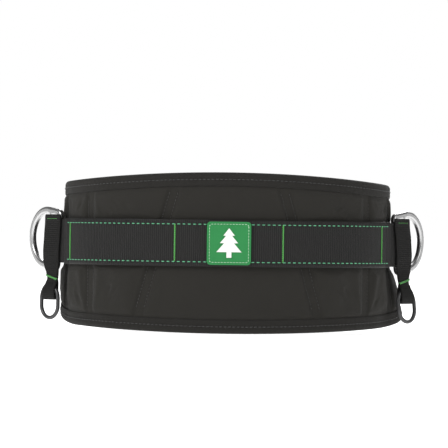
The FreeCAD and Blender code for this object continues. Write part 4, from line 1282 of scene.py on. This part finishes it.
def make_front_straps():
    """The two halves of the front belt. The left one is sewn round the housing's pin. The right one runs
    through the adjuster, back over its bar and away as a free tail."""
    pin = plan_middle("strap_pin")
    bar = plan_middle("adjuster_bar")
    start = run_at(math.radians(103))
    inside = SIDE_RADIUS + FRONT_MIDDLE
    loop = 5.2 * MM

    # left: along the belt to the pin, round it and back a little way on the outside
    straight_end = -(FRONT_RUN + (SIDE_X - abs(pin[0])))
    path = belt_path(-start, straight_end, FRONT_MIDDLE)
    path += arc_points(pin, loop, -math.pi / 2 + 0.2, math.pi / 2)
    path += [Vector((pin[0] - 12 * MM, pin[1] + loop - 1.5 * MM)),
             Vector((pin[0] - 24 * MM, inside + 2.6 * MM)),
             Vector((pin[0] - 34 * MM, inside + 2.4 * MM))]
    left = strap_along("front_strap_left_cloth", path)
    dress(left, WEBBING_CLOTH, nodes=("front_strap_left",))

    # right: along the belt, round the adjuster's bar and back outside as the tail
    straight_end = FRONT_RUN + (SIDE_X - bar[0])
    path = belt_path(start, straight_end, FRONT_MIDDLE)
    path += arc_points(bar, loop, -math.pi / 2 - 0.2, -math.pi * 3 / 2)
    tail_offset = FRONT_MIDDLE + WEBBING_THICK + 0.5 * MM
    tail_start = FRONT_RUN - 8 * MM
    path += [Vector((bar[0] + 20 * MM, bar[1] + loop + 0.2 * MM))]
    path += belt_path(tail_start, run_at(math.radians(138)), tail_offset)
    right = strap_along("front_strap_right_cloth", path)
    dress(right, WEBBING_CLOTH, body=None, nodes=("front_strap_right",))
    near = on_belt(run_at(math.radians(128)), WEB_LEVEL, FRONT_MIDDLE)
    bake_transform(right)


# ---------------------------------------------------------------- latch springs


def make_latch_spring(name):
    """The leaf under a button, which flattens towards its foot as the button goes in; here it is a still
    copy of the CAD spring.
    """
    spring = frame["nodes"][f"latch_spring_{name}"]
    points = [spring.matrix_world @ vertex.co for vertex in spring.data.vertices]
    faces = [tuple(polygon.vertices) for polygon in spring.data.polygons]
    piece = add_object(f"latch_leaf_{name}", points, faces, smooth=False)
    dress(piece, SPRING_BLUE, nodes=(spring.name,))
    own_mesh(piece)


# ---------------------------------------------------------------- build

make_shell()
make_layer("pad_foam", 17 * MM, 5 * MM, -7.2 * MM, -10.6 * MM, -6.6 * MM, -7.6 * MM, FOAM_GREY,
           ("pad_foam_core",))
make_layer("pad_stiffener_sheet", 23 * MM, 5 * MM, -6.2 * MM, -6.9 * MM, -5.8 * MM, -6.5 * MM, SHEET_GREY,
           ("pad_stiffener",))
make_lining()
make_binding()
make_binding_stitches()
make_seam_stitches()
make_main_webbing()
make_tool_webbing()
make_tool_stitches()
make_patch()
make_glyph()
for hip in (-1, 1):
    make_hanging_strap(hip)
    make_strap_stitches(hip)
make_front_straps()
for latch in ("upper", "lower"):
    make_latch_spring(latch)

FINISHES = {
    "d_ring_left": ALUMINIUM,
    "d_ring_right": ALUMINIUM,
    "accessory_ring_left": RING_COAT,
    "accessory_ring_right": RING_COAT,
    "buckle_base": DARK_ALUMINIUM,
    "buckle_cover": DARK_ALUMINIUM,
    "buckle_tongue": DARK_ALUMINIUM,
    "buckle_rivets": STEEL,
    "strap_pin": STEEL,
    "adjuster_bar": STEEL,
    "release_button_upper": BUTTON_GREEN,
    "release_button_lower": BUTTON_GREEN,
    "strap_keeper": KEEPER_BLACK,
}
for node_name, finish in FINISHES.items():
    paint_node(node_name, finish)


# ---------------------------------------------------------------- studio

FLOOR_HALF = 30


def make_floor():
    material, tree, shader = new_material("studio_floor")
    speckle = noise_pattern(tree, object_place(tree), 40.0, 3.0)
    tree.links.new(math_node(tree, "MULTIPLY_ADD", speckle, 0.02, 0.9), shader.inputs["Base Color"])
    shader.inputs["Roughness"].default_value = 0.9
    shader.inputs["Emission Color"].default_value = (1, 1, 1, 1)
    shader.inputs["Emission Strength"].default_value = 0.68
    corners = [(x * FLOOR_HALF, y * FLOOR_HALF, -1 * MM) for x, y in ((-1, -1), (1, -1), (1, 1), (-1, 1))]
    floor = add_object("studio_floor", corners, [(0, 1, 2, 3)])
    floor.data.materials.append(material)


def make_light(name, place, size, power):
    light = bpy.data.lights.new(name, "AREA")
    light.size = size
    light.energy = power
    lamp = bpy.data.objects.new(name, light)
    bpy.context.scene.collection.objects.link(lamp)
    lamp.location = place
    aim = Vector((0, 0, 0.09)) - Vector(place)
    lamp.rotation_euler = aim.to_track_quat("-Z", "Y").to_euler()
    lamp.visible_camera = False


WORLD_LIGHT = 0.5
WORLD_GLOSS = 0.2


def make_world():
    world = bpy.data.worlds.new("studio")
    bpy.context.scene.world = world
    world.use_nodes = True
    tree = world.node_tree
    background = tree.nodes["Background"]
    rays = tree.nodes.new("ShaderNodeLightPath")
    camera_share = math_node(tree, "MULTIPLY", rays.outputs["Is Camera Ray"], 1 - WORLD_LIGHT)
    glossy_share = math_node(tree, "MULTIPLY", rays.outputs["Is Glossy Ray"], WORLD_LIGHT - WORLD_GLOSS)
    strength = math_node(tree, "ADD", WORLD_LIGHT, math_node(tree, "SUBTRACT", camera_share, glossy_share))
    background.inputs["Color"].default_value = (1, 1, 1, 1)
    tree.links.new(strength, background.inputs["Strength"])


def make_camera():
    """Long lens from behind the wearer, level with the upper stitch row of the webbing."""
    distance = 3.41
    camera_data = bpy.data.cameras.new("camera")
    camera_data.sensor_width = 36
    camera_data.lens = 36 / (0.448 / distance)
    camera_data.clip_end = 100
    camera = bpy.data.objects.new("camera", camera_data)
    bpy.context.scene.collection.objects.link(camera)
    back = rim_low[1]
    yaw = math.radians(0.8)
    target = Vector((-5.2 * MM, back, 110.3 * MM))
    camera.location = target + Vector((-math.sin(yaw), -math.cos(yaw), 0)) * distance
    look = (target - camera.location).to_track_quat("-Z", "Y")
    camera.rotation_euler = look.to_euler()
    camera.rotation_euler.rotate_axis("Z", math.radians(0.75))
    bpy.context.scene.camera = camera


make_floor()
make_world()
make_light("key_light", (-2.0, -1.9, 1.9), 1.5, 72)
make_light("fill_light", (2.2, -1.4, 1.4), 1.8, 22)
make_light("rear_light", (0.6, 2.4, 1.8), 1.6, 45)
make_camera()
bpy.context.scene.view_settings.view_transform = "Standard"
